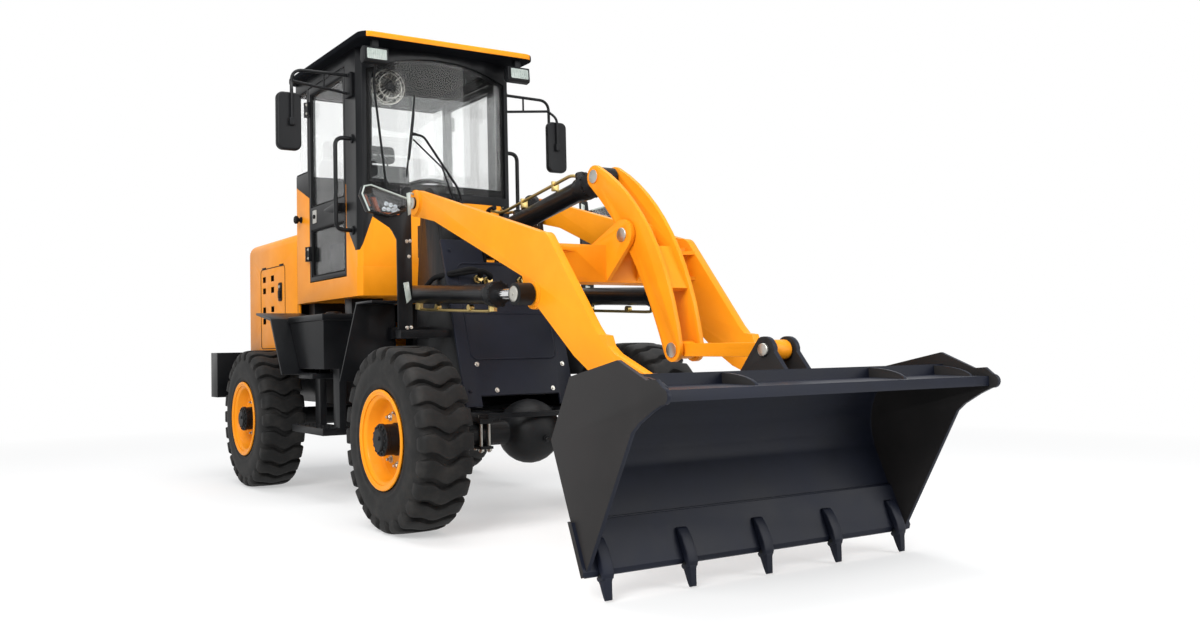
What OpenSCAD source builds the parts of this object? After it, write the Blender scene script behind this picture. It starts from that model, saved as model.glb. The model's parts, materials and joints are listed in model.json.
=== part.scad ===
// Compact articulated wheel loader with a closed cab and a Z-bar bucket linkage.
// Machine axes: X forward, Y left, Z up, with X = 0 on the steering joint and Z = 0 on the ground.

/* [Wheels] */
// Distance between the front and the rear axle
wheelbase = 2080; // [2040:10:2160]
// Distance between the centre planes of the two wheels of one axle
track = 1350; // [1330:10:1400]
// Outer diameter of a tyre over its lugs
tyre_d = 860; // [840:10:880]
// Number of lugs around a tyre
lug_count = 24; // [20:1:28]
// Width of a tyre over its lugs
tyre_w = 265; // [255:5:280]
// Outer diameter of the rim flanges
rim_d = 460; // [450:5:470]
// Radius of the planetary hub
hub_r = 70; // [60:1:76]
// Radius of an axle tube
axle_r = 58; // [50:1:64]

/* [Cab] */
// Outer width of the cab walls
cab_w = 1000; // [960:10:1030]
// Depth of the cab walls
cab_wall = 40; // [34:1:46]
// Height of the underside of the cab
cab_z0 = 1148; // [1140:2:1160]
// Height of the top of the cab walls
cab_z1 = 2544; // [2480:5:2580]
// Thickness of the roof slab
roof_t = 36; // [28:1:44]
// Width of the roof slab
roof_w = 1124; // [1100:4:1160]
// Thickness of the windows
glass_t = 6; // [4:1:8]

/* [Engine hood] */
// Height of the top of the hood
hood_z1 = 1615; // [1560:5:1650]
// Wall of the hood
hood_t = 14; // [10:1:18]

/* [Boom] */
// Distance between the outer faces of the boom arms
boom_w = 800; // [790:2:812]
// Thickness of a boom arm plate
arm_t = 40; // [32:1:44]
// Radius of the pins of the boom
pin_r = 30; // [24:1:34]

/* [Bucket] */
// Width of the bucket over its side plates
bucket_w = 1588; // [1540:4:1640]
// Thickness of the bucket shell
shell_t = 12; // [8:1:16]
// Thickness of the bucket side plates
cheek_t = 16; // [12:1:20]
// Number of teeth along the cutting edge
tooth_count = 5; // [4:1:7]
// Angle by which the bucket is tipped forward as it is parked
tip_angle = 68; // [60:1:68]

/* [Cylinders] */
// Outer radius of a lift cylinder barrel
lift_barrel_r = 45; // [40:1:48]
// Radius of a lift cylinder rod
lift_rod_r = 25; // [20:1:30]
// Outer radius of the tilt cylinder barrel
tilt_barrel_r = 48; // [42:1:52]
// Radius of the tilt cylinder rod
tilt_rod_r = 25; // [20:1:30]

/* [Hidden] */
$fn = 48;
pin_gap = 0.3;
seat_gap = 0.3;
side_gap = 6;

// Joints of the working gear in the XZ plane, boom low and bucket tipped
wheel_z = tyre_d / 2;
front_x = wheelbase / 2;
boom_pivot = [620, 1600];
lift_base = [660, 1125];
lift_eye = [1717, 1066];
rocker_pivot = [1934, 1308];
rocker_top = [1714, 1592];
rocker_foot = [2205, 820];
tilt_base = [660, 1423];
bucket_pivot = [2426, 684];
// Bucket section about its pivot with the floor level
lug_level = [-19, 304];
edge_level = [624, -70];
heel_level = [150, -70];
back_level = [-9, 122];
apex_level = [38, 385];
lip_level = [146, 491];
ear_level = [216, 543];
notch_level = [268, 358];
tooth_level = [704, -62];
shell_r = 267;

function turn(p, a) = [p.x * cos(a) - p.y * sin(a), p.x * sin(a) + p.y * cos(a)];
function tipped(p) = bucket_pivot + turn(p, -tip_angle);
function arc(c, r, a0, a1, n) = [for (i = [0:n]) c + r * [cos(a0 + (a1 - a0) * i / n), sin(a0 + (a1 - a0) * i / n)]];
function round_rect(x0, y0, x1, y1, r) = concat(
    arc([x1 - r, y1 - r], r, 0, 90, 6), arc([x0 + r, y1 - r], r, 90, 180, 6),
    arc([x0 + r, y0 + r], r, 180, 270, 6), arc([x1 - r, y0 + r], r, 270, 360, 6)
);
function heading(a, b) = atan2(b.y - a.y, b.x - a.x);
lug_eye = tipped(lug_level);
rear_x = -1890;
weight_x = rear_x + 230;
ear_tip_level = ear_level + [10, 20];
mid_x = (rear_x + tipped(ear_tip_level).x) / 2;
arm_y1 = boom_w / 2;
arm_y0 = arm_y1 - arm_t;
boss_y = 10;
tower_y1 = arm_y0 - 35;
tower_t = 25;
lift_half = 40;
lift_y = arm_y1 + boss_y + 5 + lift_half;
cab_y = cab_w / 2;
hood_w = cab_w - 20;

// Carries machine coordinates to the part's origin under the middle of its box
module place() { translate([-mid_x, 0, 0]) children(); }
// Extrudes an XZ outline from y0 to y1
module plate(y0, y1) { translate([0, y1, 0]) rotate([90, 0, 0]) linear_extrude(y1 - y0) children(); }
module both_sides() { children(); mirror([0, 1, 0]) children(); }
module side(left) { if (left) children(); else mirror([0, 1, 0]) children(); }
module box(lo, hi) { translate(lo) cube(hi - lo); }
// A round bar across the machine at an XZ point
module cross_bar(p, r, y0, y1) { translate([p.x, y0, p.y]) rotate([-90, 0, 0]) cylinder(r = r, h = y1 - y0); }
// Puts a form drawn along +X on the line from a to b in the XZ plane
module along(a, b, y = 0) { translate([a.x, y, a.y]) rotate([0, -heading(a, b), 0]) children(); }
// Extrudes a YZ outline from x0 to x1
module along_x(x0, x1) { translate([x0, 0, 0]) rotate([90, 0, 90]) linear_extrude(x1 - x0) children(); }
module x_bar(r, x0, x1) { translate([x0, 0, 0]) rotate([0, 90, 0]) cylinder(r = r, h = x1 - x0); }

// Wheels

rim_half_in = 120;
rim_half_out = 138;
seat_r = 204;
disc_z = 30;
disc_t = 16;
hub_z = 150;
spindle_r = 40;

module rim_section() {
    flange_r = rim_d / 2;
    polygon([
        [flange_r, -rim_half_in], [flange_r, -rim_half_in + 10], [seat_r, -rim_half_in + 18],
        [seat_r, rim_half_out - 20], [flange_r, rim_half_out - 12], [flange_r, rim_half_out],
        [flange_r - 14, rim_half_out], [188, rim_half_out - 20], [184, disc_z + disc_t],
        [hub_r - 10, disc_z + disc_t], [hub_r - 10, disc_z], [184, disc_z], [188, -rim_half_in + 18],
        [flange_r - 14, -rim_half_in]
    ]);
}

module wheel_turned() {
    color("orange") difference() {
        union() {
            rotate_extrude() rim_section();
            translate([0, 0, -10]) cylinder(r = hub_r, h = hub_z + 10);
        }
        translate([0, 0, -11]) cylinder(r = spindle_r + pin_gap, h = 81);
    }
}

lug_h = 24;
lug_fill = 0.68;
lug_wave = 13;
module tyre_turned() {
    half = tyre_w / 2;
    r = tyre_d / 2;
    bead_r = seat_r + seat_gap;
    lug_w = lug_fill * PI * tyre_d / lug_count;
    color("dimgray") {
        rotate_extrude($fn = lug_count) polygon([
            [bead_r, -96], [bead_r, 96], [rim_d / 2 + 4, half - 12], [310, half + 4], [r - 62, half - 6],
            [r - lug_h, half - 40], [r - lug_h, -half + 40], [r - 62, -half + 6], [310, -half - 4], [rim_d / 2 + 4, -half + 28]
        ]);
        for (i = [0:lug_count - 1]) rotate(i * 360 / lug_count) along_x(r - 58, r) polygon([
            [lug_wave - lug_w / 2, -half], [-lug_wave - lug_w / 2, 0], [lug_wave - lug_w / 2, half],
            [lug_wave + lug_w / 2, half], [-lug_wave + lug_w / 2, 0], [lug_wave + lug_w / 2, -half]
        ]);
    }
}

module at_wheel(front, left) {
    place() translate([front ? front_x : -front_x, left ? track / 2 : -track / 2, wheel_z])
        rotate([left ? -90 : 90, 0, 0]) children();
}

// Axle housing with a round differential case, tubes and spindles
module axle(x) {
    spindle_y = track / 2 + 55;
    color("black") translate([x, 0, wheel_z]) {
        rotate([90, 0, 0]) rotate_extrude() polygon(concat(
            [[0, -300]], [[axle_r, -300]],
            [for (i = [0:12]) let(a = -75 + i * 12.5) [axle_r + 100 * cos(a * 1.2), 150 * sin(a)]],
            [[axle_r, 300]], [[0, 300]]
        ));
        both_sides() {
            translate([0, 290, 0]) rotate([-90, 0, 0]) cylinder(r = axle_r, h = track / 2 - 30 - 290);
            translate([0, track / 2 - 60, 0]) rotate([-90, 0, 0]) cylinder(r = axle_r + 20, h = 30);
            translate([0, track / 2 - 40, 0]) rotate([-90, 0, 0]) cylinder(r = spindle_r, h = spindle_y - track / 2 + 40);
        }
    }
}

// Rear half

frame_y0 = 250;
frame_y1 = 275;
frame_z0 = wheel_z + axle_r + 22;
frame_z1 = 800;
hinge_r = 32;
hinge_lug_r = 80;
hinge_lug_t = 40;
hinge_z = [540, 740];
post_y = 440;

module rear_frame() {
    color("black") place() difference() {
        union() {
            both_sides() plate(frame_y0, frame_y1) polygon([
                [weight_x, frame_z0], [weight_x, frame_z1], [-240, frame_z1], [-200, frame_z1 - 60],
                [-200, frame_z0 + 10], [-240, frame_z0]
            ]);
            box([-240, -frame_y0, frame_z0], [-205, frame_y0, frame_z1]);
            box([-900, -frame_y0, frame_z0], [-860, frame_y0, 640]);
            box([weight_x + 160, -frame_y0, frame_z0], [weight_x + 200, frame_y0, 640]);
            box([weight_x, -frame_y0, frame_z0], [weight_x + 40, frame_y0, frame_z1]);
            both_sides() box([-1120, frame_y0 - 40, wheel_z + axle_r - 6], [-960, frame_y1 + 10, frame_z0]);
            for (z = [steer_z - 45, steer_z + 35]) box([-600, -frame_y0, z], [-520, frame_y0, z + 10]);
            both_sides() translate([steer_base.x, steer_base.y, steer_z - 51]) cylinder(r = 20, h = 102);
            for (z = hinge_z) translate([0, 0, z]) {
                cylinder(r = hinge_lug_r, h = hinge_lug_t);
                box([-215, -hinge_lug_r + 4, 0], [0, hinge_lug_r - 4, hinge_lug_t]);
            }
            both_sides() box([-240, frame_y0 - 10, frame_z1 - 1], [-140, post_y, cab_z0 - 40]);
            both_sides() box([-240, frame_y0 - 10, cab_z0 - 41], [-140, post_y, cab_z0]);
            both_sides() box([-830, frame_y0 - 10, frame_z1 - 1], [-730, post_y, cab_z0]);
        }
        for (z = hinge_z) translate([0, 0, z - 1]) cylinder(r = hinge_r + pin_gap, h = hinge_lug_t + 2);
        both_sides() box([-300, 88, steer_z - 45], [-180, frame_y0 + 1, steer_z + 60]);
        translate([-front_x, 0, wheel_z]) rotate([90, 0, 0]) cylinder(r = axle_r + 110, h = 2 * frame_y0 - 90, center = true);
        both_sides() translate([-front_x, 0, wheel_z]) rotate([-90, 0, 0]) cylinder(r = axle_r + seat_gap, h = 900);
    }
}

counterweight_y = 795;
counterweight_z1 = 850;
hood_z0 = counterweight_z1;
hitch_x = rear_x + 60;
hitch_r = 16;
module counterweight() {
    color("black") place() difference() {
        intersection() {
            plate(-counterweight_y, counterweight_y) polygon([
                [rear_x, 590], [rear_x, counterweight_z1], [weight_x, counterweight_z1], [weight_x, 544], [rear_x + 46, 544]
            ]);
            translate([0, 0, 500]) linear_extrude(400)
                polygon(round_rect(rear_x, -counterweight_y, weight_x + 200, counterweight_y, 90));
        }
        box([rear_x - 1, -80, 640], [rear_x + 120, 80, 720]);
        translate([hitch_x, 0, 500]) cylinder(r = hitch_r, h = 400);
    }
}

module engine() {
    color("gray") place() box([weight_x + 70, -230, 640], [-960, 230, 1360]);
}

hood_x0 = rear_x + 10;
hood_x1 = -870;
module hood_section(t) {
    half = hood_w / 2 - t;
    top = hood_z1 - t;
    corner = 70;
    polygon(concat(
        [[-half, hood_z0]], arc([-half + corner, top - corner], corner, 180, 90, 6),
        arc([half - corner, top - corner], corner, 90, 0, 6), [[half, hood_z0]]
    ));
}

air_hole = 38;
air_pitch = 78;
module hood() {
    color("orange") place() difference() {
        along_x(hood_x0, hood_x1) hood_section(0);
        translate([0, 0, -1]) along_x(hood_x0 + hood_t, hood_x1 + 1) hood_section(hood_t);
        both_sides() for (z = [1310, 1100], row = [0, 1], col = [0, 1])
            translate([hood_x0 + 290 + col * 2.2 * air_pitch, hood_w / 2 - 30, z - air_hole / 2 - row * air_pitch + air_pitch / 2])
                cube([1.6 * air_hole, 60, air_hole]);
        box([hood_x0 - 1, -330, 980], [hood_x0 + hood_t + 1, 330, 1500]);
    }
}

slat_count = 9;
module rear_grille() {
    pitch = 480 / slat_count;
    color("black") place() difference() {
        box([hood_x0 + 2, -330, 980], [hood_x0 + hood_t - 2, 330, 1500]);
        for (i = [0:slat_count - 1])
            box([hood_x0, -300, 1000 + i * pitch + 10], [hood_x0 + hood_t, 300, 1000 + (i + 1) * pitch - 10]);
    }
}

// Cab: the plan of its walls is straight at the sides and bowed at the windscreen
cab_x0 = -870;
cab_x1 = 90;
cab_nose = 180;
function cab_plan(t) = let(y = cab_y - t, bow_y = cab_y - 22 - t * 0.8, n = 12) concat(
    [[cab_x0 + t, -y], [cab_x1 - t * 0.4, -y]],
    [for (i = [-n:n]) [125 - t + (cab_nose - 125) * (1 - pow(i / n, 2)), bow_y * i / n]],
    [[cab_x1 - t * 0.4, y], [cab_x0 + t, y]]
);
module cab_walls(z0, z1) {
    translate([0, 0, z0]) linear_extrude(z1 - z0) difference() {
        polygon(cab_plan(0));
        polygon(cab_plan(cab_wall));
    }
}

door_x0 = -645;
door_x1 = -65;
door_z0 = 1268;
door_z1 = 2480;
door_gap = 6;
sill_front = 1690;
pillar_x = -60;
post_x = door_x0 - 28;
rear_sill = 1960;
rail_z = 2480;
skirt_z = 1310;
screen_y = 452;

module door_opening() {
    both_sides() box([door_x0, cab_y - cab_wall - 1, door_z0], [door_x1, cab_y + 1, door_z1]);
}

// The walls that are painted with the body colour, stepped down to a point under each front pillar
module painted_zone() {
    plate(-600, 600) polygon([
        [-900, cab_z0 - 1], [60, cab_z0 - 1], [60, 1412], [pillar_x, 1556], [pillar_x, 1795], [door_x0, 1795], [-900, 1903]
    ]);
    along_x(60, 400) polygon([
        [-600, cab_z0 - 1], [600, cab_z0 - 1], [600, 1405], [490, 1405], [425, 1590], [410, sill_front],
        [-410, sill_front], [-425, 1590], [-490, 1405], [-600, 1405]
    ]);
}

// Outline of the windscreen with its arched top edge
module screen_outline() {
    polygon(concat(
        [[-screen_y, sill_front + 50], [screen_y, sill_front + 50]],
        [for (i = [0:12]) let(y = screen_y * (1 - i / 6)) [y, 2426 + 82 * (1 - pow(y / screen_y, 2))]]
    ));
}

module cab_base() {
    color("orange") place() difference() {
        union() {
            intersection() { cab_walls(cab_z0, 2000); painted_zone(); }
            translate([0, 0, cab_z0]) linear_extrude(30) polygon(cab_plan(cab_wall - 1));
            intersection() {
                translate([0, 0, cab_z0]) linear_extrude(skirt_z - cab_z0) difference() {
                    polygon(cab_plan(-12));
                    polygon(cab_plan(cab_wall - 2));
                }
                box([100, -600, cab_z0], [400, 600, skirt_z]);
            }
        }
        door_opening();
    }
}

module cab_frame() {
    color([0.15, 0.15, 0.16]) place() difference() {
        cab_walls(cab_z0, cab_z1);
        painted_zone();
        door_opening();
        along_x(95, 400) screen_outline();
        box([cab_x0 - 1, -600, rear_sill], [post_x, 600, rail_z]);
    }
}

module cab_glass() {
    inset = 12;
    color("lightblue", 0.4) place() {
        intersection() {
            translate([0, 0, sill_front]) linear_extrude(900) difference() {
                polygon(cab_plan(10));
                polygon(cab_plan(10 + glass_t));
            }
            along_x(96, 400) screen_outline();
        }
        box([cab_x0 + inset, -cab_y + inset, rear_sill], [cab_x0 + inset + glass_t, cab_y - inset, rail_z]);
        both_sides()
            box([cab_x0 + inset + glass_t, cab_y - inset - glass_t, rear_sill], [post_x, cab_y - inset, rail_z]);
    }
}

roof_x0 = -876;
roof_x1 = 319;
module roof() {
    half = roof_w / 2;
    color("orange") place() translate([0, 0, cab_z1]) linear_extrude(roof_t)
        polygon(round_rect(roof_x0, -half, roof_x1, half, 70));
}

module seat() {
    color("black") place() {
        box([-600, -150, cab_z0 + 30], [-320, 150, 1432]);
        plate(-240, 240) polygon(round_rect(-660, 1430, -230, 1560, 40));
        translate([-640, 0, 1550]) rotate([0, -8, 0]) {
            along_x(-60, 50) polygon(round_rect(-230, 0, 230, 520, 90));
            along_x(-45, 35) polygon(round_rect(-130, 510, 130, 640, 50));
        }
    }
}

module console() {
    color("black") place() {
        plate(-300, 300) polygon([
            [-40, cab_z0 + 30], [70, cab_z0 + 30], [90, 1480], [70, 1640], [20, 1650], [-60, 1540], [-50, 1440]
        ]);
        translate([-20, 0, 1560]) rotate([0, -25, 0]) cylinder(r = 30, h = 190);
        both_sides() box([-560, 270, cab_z0 + 30], [-260, 400, 1500]);
    }
}

module steering_wheel() {
    color("black") place() translate([-20, 0, 1560]) rotate([0, -25, 0]) translate([0, 0, 190]) {
        translate([0, 0, 20]) rotate_extrude() translate([185, 0]) circle(r = 14, $fn = 8);
        cylinder(r = 40, h = 36);
        for (a = [90, 210, 330]) rotate(a) translate([30, -12, 12]) cube([150, 24, 14]);
    }
}

module rear_axle() { place() axle(-front_x); }

module rear_fenders() {
    color("black") place() both_sides() {
        plate(cab_y, 800) polygon([
            [-788, 1087], [-524, 1047], [-510, 1040], [-321, 718], [-334, 711], [-524, 1030], [-788, 1074]
        ]);
        box([-780, post_y, 1056], [-740, cab_y + 20, 1075]);
    }
}

module side_steps() {
    color("black") place() both_sides() {
        plate(470, 690) polygon([[-330, 745], [50, 745], [50, 1015], [-490, 1015]]);
        box([-490, 470, 1015], [60, 700, 1050]);
        box([-230, post_y, 800], [-150, 471, 1000]);
        box([-40, 560, 390], [50, 600, 746]);
        box([-320, 560, 390], [-240, 600, 746]);
        box([-320, 480, 690], [-100, 700, 720]);
        box([-440, 520, 380], [50, 700, 420]);
    }
}

module mirrors() {
    y_in = cab_y;
    y_out = 850;
    arm_rise = 6;
    color("black") place() both_sides() {
        translate([20, y_in, 2402]) rotate([-90, 0, 0]) cylinder(r = 9, h = y_out - y_in);
        translate([20, y_in + 8, 2297]) rotate([-90 + arm_rise, 0, 0]) cylinder(r = 8, h = (y_out - y_in - 8) / cos(arm_rise));
        translate([20, y_out, 1960]) cylinder(r = 9, h = 442);
        box([-20, y_in, 2280], [60, y_in + 20, 2412]);
        along_x(28, 72) polygon(round_rect(y_out - 40, 1940, y_out + 100, 2258, 34));
    }
}

module work_lamps() {
    color("black") place() both_sides() {
        plate(385, 535) polygon([
            [238, 2432], [262, 2408], [296, 2414], [302, 2426], [296, 2502], [270, 2506], [244, 2492]
        ]);
        box([250, 440, 2500], [284, 480, cab_z1]);
        box([hood_x0 - 8, 370, 1280], [hood_x0, 450, 1410]);
    }
}

module handrails() {
    color("black") place() both_sides() {
        translate([30, cab_y + 100, 1500]) cylinder(r = 12, h = 560);
        for (z = [1520, 2040]) translate([30, cab_y, z]) rotate([-90, 0, 0]) cylinder(r = 10, h = 100);
    }
}

// Front half

module front_frame() {
    color("black") place() difference() {
        union() {
            both_sides() plate(tower_y1 - tower_t, tower_y1) polygon(concat(
                [[470, frame_z0], [470, 1100]], arc(boom_pivot, 85, 170, 20, 8),
                [[735, 1400], [985, 520], [1200, 520], [1200, frame_z0]]
            ));
            box([470, -tower_y1 + 1, frame_z0], [1200, tower_y1 - 1, frame_z0 + 25]);
            box([470, -tower_y1 + 1, frame_z0], [500, tower_y1 - 1, 1100]);
            box([490, -tower_y1 + 1, 1330], [570, tower_y1 - 1, 1500]);
            both_sides() plate(46, 66) polygon(concat(
                [[569, 1340]], arc(tilt_base, 52, -60, 120, 8), [[569, 1490]]
            ));
            for (z = [hinge_z[0] - hinge_lug_t - 5, hinge_z[1] + hinge_lug_t + 5]) translate([0, 0, z]) {
                cylinder(r = hinge_lug_r, h = hinge_lug_t);
                box([0, -hinge_lug_r + 4, 0], [490, hinge_lug_r - 4, hinge_lug_t]);
            }
            box([60, -236, hinge_z[1] + hinge_lug_t + 5], [140, 236, hinge_z[1] + 2 * hinge_lug_t + 5]);
            translate([0, 0, hinge_z[0] - hinge_lug_t]) cylinder(r = hinge_r, h = hinge_z[1] - hinge_z[0] + 2 * hinge_lug_t + 20);
            both_sides() {
                cross_bar(boom_pivot, 55, tower_y1 - 1, arm_y0 - boss_y - side_gap);
                cross_bar(boom_pivot, pin_r, tower_y1 - 1, arm_y1 + boss_y + 8);
                cross_bar(lift_base, 48, tower_y1 - 1, lift_y - lift_half - side_gap);
                cross_bar(lift_base, pin_r, tower_y1 - 1, lift_y + lift_half + 10);
                box([960, tower_y1 - 70, wheel_z + axle_r - 6], [1120, tower_y1, frame_z0 + 1]);
                box([780, tower_y1 - 1, 900], [840, 600, 940]);
                box([572, tower_y1 - 1, 900], [600, fender_y0 + 30, 960]);
            }
        }
        both_sides() translate([front_x, 0, wheel_z]) rotate([-90, 0, 0]) cylinder(r = axle_r + seat_gap, h = 900);
        translate([front_x, 0, wheel_z]) rotate([90, 0, 0]) cylinder(r = axle_r + 110, h = 2 * tower_y1 - 160, center = true);
        both_sides() cross_bar(tilt_base, pin_r + pin_gap, 40, 70);
    }
}

cover_top = [735, 1400];
cover_foot = [985, 520];
cover_end = cover_foot + [-9, 32];
module front_cover() {
    color([0.1, 0.11, 0.15]) place() difference() {
        along(cover_top, cover_foot) {
            len = norm(cover_end - cover_top);
            translate([0, -tower_y1, 0.3]) cube([len, 2 * tower_y1, 15]);
        }
        box([600, -90, 1290], [1000, 90, 1500]);
        translate([front_x, 0, wheel_z]) rotate([90, 0, 0]) cylinder(r = 190, h = 460, center = true);
    }
}

module front_axle() { place() axle(front_x); }

fender_y0 = lift_y + lift_half + 10;
module front_fenders() {
    color("black") place() both_sides() {
        translate([560, 0, 0]) rotate([90, 0, 90]) linear_extrude(12) polygon([
            [fender_y0, 880], [fender_y0, 1077], [716, 1077], [810, 690], [540, 690]
        ]);
        box([560, fender_y0, 1076], [760, 716, 1087]);
    }
}

lamp_x = 800;
module headlamps() {
    color("black") place() both_sides() {
        along_x(lamp_x - 10, lamp_x + 4) polygon([
            [515, 940], [595, 940], [595, 1385], [626, 1440], [720, 1494], [720, 1515], [580, 1515], [566, 1636], [548, 1652], [515, 1652]
        ]);
        along_x(lamp_x - 45, lamp_x + 50) polygon([
            [560, 1520], [650, 1492], [762, 1512], [800, 1596], [788, 1634], [752, 1642], [556, 1586]
        ]);
    }
}

// Boom

tube_c = [1745, 1195];
tube_a = 160;
ear_y0 = 71;
ear_y1 = 91;
boom_end_r = 68;
tip_r = 56;
arm_points = concat(
    arc(boom_pivot, boom_end_r, 250, 74, 12),
    [[1781, 1325]], arc([1790, 1262], 62, 78, 38, 4),
    [[2139, 918], [2170, 886], [2214, 880], [2231, 839], [2273, 809]],
    arc(bucket_pivot, tip_r, 60, -110, 10),
    [[2097, 748], [2007, 803], [1820, 953]],
    arc(lift_eye, 64, -60, -190, 8),
    [[1634, 1149], [825, 1483]]
);

module boom() {
    color("orange") place() difference() {
        union() {
            both_sides() {
                plate(arm_y0, arm_y1) polygon(arm_points);
                cross_bar(boom_pivot, boom_end_r - 4, arm_y0 - boss_y, arm_y1 + boss_y);
                cross_bar(lift_eye, 52, arm_y0, arm_y1 + boss_y);
            }
            plate(-arm_y0 - 1, arm_y0 + 1) translate(tube_c - [tube_a, tube_a] / 2) square(tube_a);
            both_sides() for (z = [tube_c.y - 66, tube_c.y + 48]) translate([0, 0, z]) linear_extrude(16) polygon([
                [tube_c.x + tube_a / 2 - 2, arm_y0 + 2], [tube_c.x + tube_a / 2 - 2, arm_y0 - 110], [1880, arm_y0 + 2]
            ]);
            both_sides() plate(ear_y0, ear_y1) polygon(concat(
                [[1690, 1274]], arc(rocker_pivot, 66, 110, -40, 8), [[1824, 1120]]
            ));
        }
        both_sides() {
            cross_bar(boom_pivot, pin_r + pin_gap, arm_y0 - 60, arm_y1 + 60);
            cross_bar(bucket_pivot, pin_r + pin_gap, arm_y0 - 60, arm_y1 + 60);
            cross_bar(rocker_pivot, pin_r + pin_gap, ear_y0 - 1, ear_y1 + 1);
        }
    }
}

module rocker_pin() { color("silver") place() cross_bar(rocker_pivot, pin_r, -ear_y1 - 4, ear_y1 + 4); }

rocker_y0 = 45;
rocker_y1 = 65;
rocker_elbow = [2080, 1330];
// Outline of a limb that follows a curve and narrows from r0 to r1
function bend(a, b, c, t) = (1 - t) * (1 - t) * a + 2 * t * (1 - t) * b + t * t * c;
function bend_dir(a, b, c, t) = let(d = 2 * (1 - t) * (b - a) + 2 * t * (c - b)) d / norm(d);
function limb_side(a, b, c, r, s, n) = [for (i = [0:n]) let(t = i / n, d = bend_dir(a, b, c, t))
    bend(a, b, c, t) + s * (r[0] * (1 - t) * (1 - t) + 2 * r[1] * t * (1 - t) + r[2] * t * t) * [-d.y, d.x]];
function limb(a, b, c, r, n = 12) = let(d0 = bend_dir(a, b, c, 0), d1 = bend_dir(a, b, c, 1)) concat(
    limb_side(a, b, c, r, 1, n),
    arc(c, r[2], atan2(d1.x, -d1.y), atan2(d1.x, -d1.y) - 180, 8),
    [for (i = [n:-1:0]) limb_side(a, b, c, r, -1, n)[i]],
    arc(a, r[0], atan2(-d0.x, d0.y), atan2(-d0.x, d0.y) - 180, 8)
);

module rocker() {
    color("orange") place() difference() {
        union() {
            both_sides() plate(rocker_y0, rocker_y1) polygon(limb(rocker_top, rocker_elbow, rocker_foot, [50, 100, 48]));
            cross_bar(rocker_pivot, 56, -rocker_y0 - 1, rocker_y0 + 1);
            plate(-rocker_y0 - 1, rocker_y0 + 1) polygon([[2060, 1240], [2085, 1250], [2185, 1070], [2160, 1060]]);
        }
        cross_bar(rocker_pivot, pin_r + pin_gap, -100, 100);
        for (p = [rocker_top, rocker_foot]) cross_bar(p, pin_r + pin_gap, -100, 100);
    }
    for (p = [rocker_top, rocker_foot])
        color("silver") place() both_sides() cross_bar(p, pin_r, rocker_y0 + 1, rocker_y1 + 5);
}

link_pin_r = 24;
link_eye_r = 36;
module link_pin() { color("silver") place() cross_bar(lug_eye, link_pin_r, -74, 74); }

link_y = 38;
module tilt_link() {
    len = norm(lug_eye - rocker_foot);
    color("orange") place() along(rocker_foot, lug_eye) difference() {
        union() {
            rotate([90, 0, 0]) cylinder(r = link_eye_r, h = 2 * link_y, center = true);
            translate([len, 0, 0]) rotate([90, 0, 0]) cylinder(r = link_eye_r, h = 2 * link_y, center = true);
            translate([0, -link_y + 4, -26]) cube([len, 2 * link_y - 8, 52]);
        }
        translate([len, 0, 0]) rotate([90, 0, 0]) cylinder(r = link_pin_r + pin_gap, h = 200, center = true);
    }
}

lug_out_y = arm_y1 + boss_y + side_gap;
module bucket_pins() {
    color("silver") place() both_sides() cross_bar(bucket_pivot, pin_r, arm_y0 - side_gap - 24, arm_y1 + side_gap + 24);
}

// Bucket, drawn with its floor level about its pivot and then tipped
module tip() { translate([bucket_pivot.x, 0, bucket_pivot.y]) rotate([0, tip_angle, 0]) children(); }

shell_c = [275, 197];
edge_t = 22;
edge_len = 190;
ear_r = 26;
rib_t = 14;
rib_y = 367;
rib_len = 153;
// The shell plate rises to a ridge, folds down and runs out as a shelf to the front lip
ridge_level = [83, 375];
shelf_level = [121, 362];
front_level = [195.5, 535];
shell_path = concat([edge_level], arc(shell_c, shell_r, 270, 190, 12), [ridge_level, shelf_level, front_level]);
function unit(v) = v / norm(v);
function inward(a, b) = let(d = unit(b - a)) [d.y, -d.x];
// The inner face of a bent plate of thickness t, mitred at its folds
function inner_path(p, t) = [for (i = [0:len(p) - 1]) let(
    j = max(i, 1), k = min(i, len(p) - 2), a = inward(p[j - 1], p[j]), b = inward(p[k], p[k + 1])
) p[i] + t * (a + b) / (1 + a * b)];
function backwards(p) = [for (i = [len(p) - 1:-1:0]) p[i]];
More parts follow.
